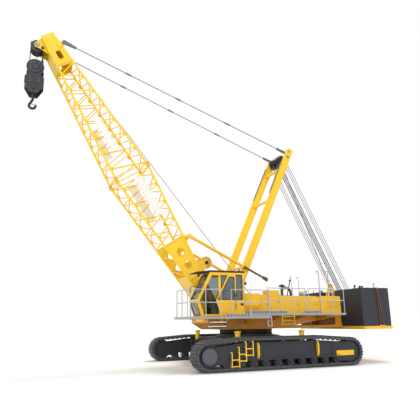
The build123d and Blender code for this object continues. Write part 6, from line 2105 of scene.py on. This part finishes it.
@dataclass(frozen=True)
class HookDress(Assembly):
    """Hook block's cheeks, cover plates, bolts, spacers, the hook's collar and its safety latch."""

    body = "hook_block"
    cheek_y: float = 350
    spacers: tuple = ((-350, -600), (350, -600), (-350, -850), (350, -850), (0, 372), (-330, 190), (330, 190))

    def build(self) -> None:
        """Builds everything on the block and the hook."""
        y = self.cheek_y
        plates = self.piece("block_plates", ANTHRACITE)
        bolts = self.piece("block_bolts", ZINC_BOLT)
        for _ in both_sides(plates, bolts):
            plates.lathe((0, y, 0), OUT, [(0, 320), (16, 320), (22, 306), (22, 120), (44, 112), (44, 0.5)], 44)
            plates.prism([(-250, -520), (250, -520), (250, -860), (-250, -860)], y, y + 16)
            plates.block((-60, 60), (y, y + 34), (-1180, -960), 12)
            bolts.bolt_ring((0, y + 18, 0), OUT, 268, 12, 30)
            bolts.bolt_ring((0, y + 42, 0), OUT, 76, 6, 22)
            bolts.bolts([(x, y + 14, z) for x in (-205, 205) for z in (-570, -690, -810)], OUT, 30)
        ties = self.piece("block_spacers", BRIGHT_STEEL)
        for x, z in self.spacers:
            ties.rod((x, -292, z), (x, 292, z), 20)
        collar = self.piece("hook_collar", BRIGHT_STEEL, body="hook")
        collar.lathe((0, 0, -1134), (0, 0, -1), [(0, 96), (30, 96), (38, 84), (70, 80), (78, 70)], 28)
        latch = self.piece("hook_latch", BRIGHT_STEEL, body="hook")
        latch.prism([(110, -1772), (128, -1790), (-124, -1868), (-132, -1846)], -30, 30)
        latch.rod((118, -44, -1781), (118, 44, -1781), 13)


# ---------------------------------------------------------------- studio

@dataclass(frozen=True)
class Studio:
    """Pale floor, soft light and the camera that stands off the left front."""

    eye: tuple = (8183.4, 21580, 1950)
    yaw: float = 248.3
    pitch: float = 14.0
    roll: float = -0.81
    focal_share: float = 453 / 420      # focal length over the picture's width
    sensor_mm: float = 36
    floor_radius: float = 400000
    # Name, strength, angle across and turn of each light
    lights: tuple = (("key", 2.3, 20, (26, 0, -60)), ("fill", 1.2, 70, (60, 0, 150)))

    def build(self) -> None:
        """Builds the studio."""
        self.floor()
        self.light()
        self.camera()

    def floor(self) -> None:
        """Pale floor, wide enough for every view."""
        floor = Piece("studio_floor", "", FLOOR_FINISH, Matrix.Scale(MM, 4))
        floor.lathe((0, 0, -60), UP, [(0, self.floor_radius), (59, self.floor_radius)], 96)
        floor.done()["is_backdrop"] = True

    def light(self) -> None:
        """Even pale surroundings, one soft key light from high up and a very soft fill from the far side."""
        world = bpy.data.worlds.new("studio")
        world.use_nodes = True
        background = world.node_tree.nodes["Background"]
        background.inputs["Color"].default_value = linear("#FFFFFF")
        background.inputs["Strength"].default_value = 1.0
        bpy.context.scene.world = world
        for name, energy, angle, turn in self.lights:
            lamp = bpy.data.lights.new(name, "SUN")
            lamp.energy = energy
            lamp.angle = math.radians(angle)
            lamp.color = (1.0, 0.985, 0.96)
            made = bpy.data.objects.new(name, lamp)
            made.rotation_euler = [math.radians(value) for value in turn]
            bpy.context.scene.collection.objects.link(made)

    def camera(self) -> None:
        """Camera of the usual view, with its place, angle and focal length."""
        lens = bpy.data.cameras.new("camera")
        lens.sensor_width = self.sensor_mm
        lens.sensor_fit = "HORIZONTAL"
        lens.lens = self.focal_share * self.sensor_mm
        lens.clip_end = 2000
        made = bpy.data.objects.new("camera", lens)
        made.matrix_world = (Matrix.Translation(Vector(self.eye) * MM)
                             @ Matrix.Rotation(math.radians(self.yaw - 90), 4, "Z")
                             @ Matrix.Rotation(math.radians(90 + self.pitch), 4, "X")
                             @ Matrix.Rotation(math.radians(self.roll), 4, "Z"))
        bpy.context.scene.collection.objects.link(made)
        bpy.context.scene.camera = made
        bpy.context.scene.view_settings.view_transform = "Standard"


def finish_nodes(frame: dict) -> None:
    """Gives every CAD node its own finish, or the finish of its material slot.
    """
    slots = {part["node"]: part["material_slot"] for part in frame["record"]["subparts"]}
    for name, node in frame["nodes"].items():
        made = node if isinstance(node, bpy.types.Object) else bpy.data.objects[name]
        finish = NODE_FINISH.get(name, SLOT_FINISH[slots[name]])
        made.data.materials.clear()
        made.data.materials.append(finish.material())
        LOG.info("%s: %s", name, finish.name)


def corners(box: Iterable) -> list[list[float]]:
    """Turns a box of two vectors to plain lists."""
    return [[float(value) for value in corner] for corner in box]


def main() -> None:
    """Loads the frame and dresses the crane."""
    logging.basicConfig(level=logging.INFO, format="%(name)s %(message)s")
    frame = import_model()
    cad_box = corners(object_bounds())
    finish_nodes(frame)
    crane = Crane(frame["record"])
    for assembly in (Crawlers, CarBody, Decks, House, Cab, Winches, Counterweight, BoomDress, MastDress, Rigging,
                     HookDress):
        assembly(crane).dress()
    Studio().build()
    {"cad": cad_box, "visual": corners(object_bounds())}


if __name__ == "__main__":
    main()
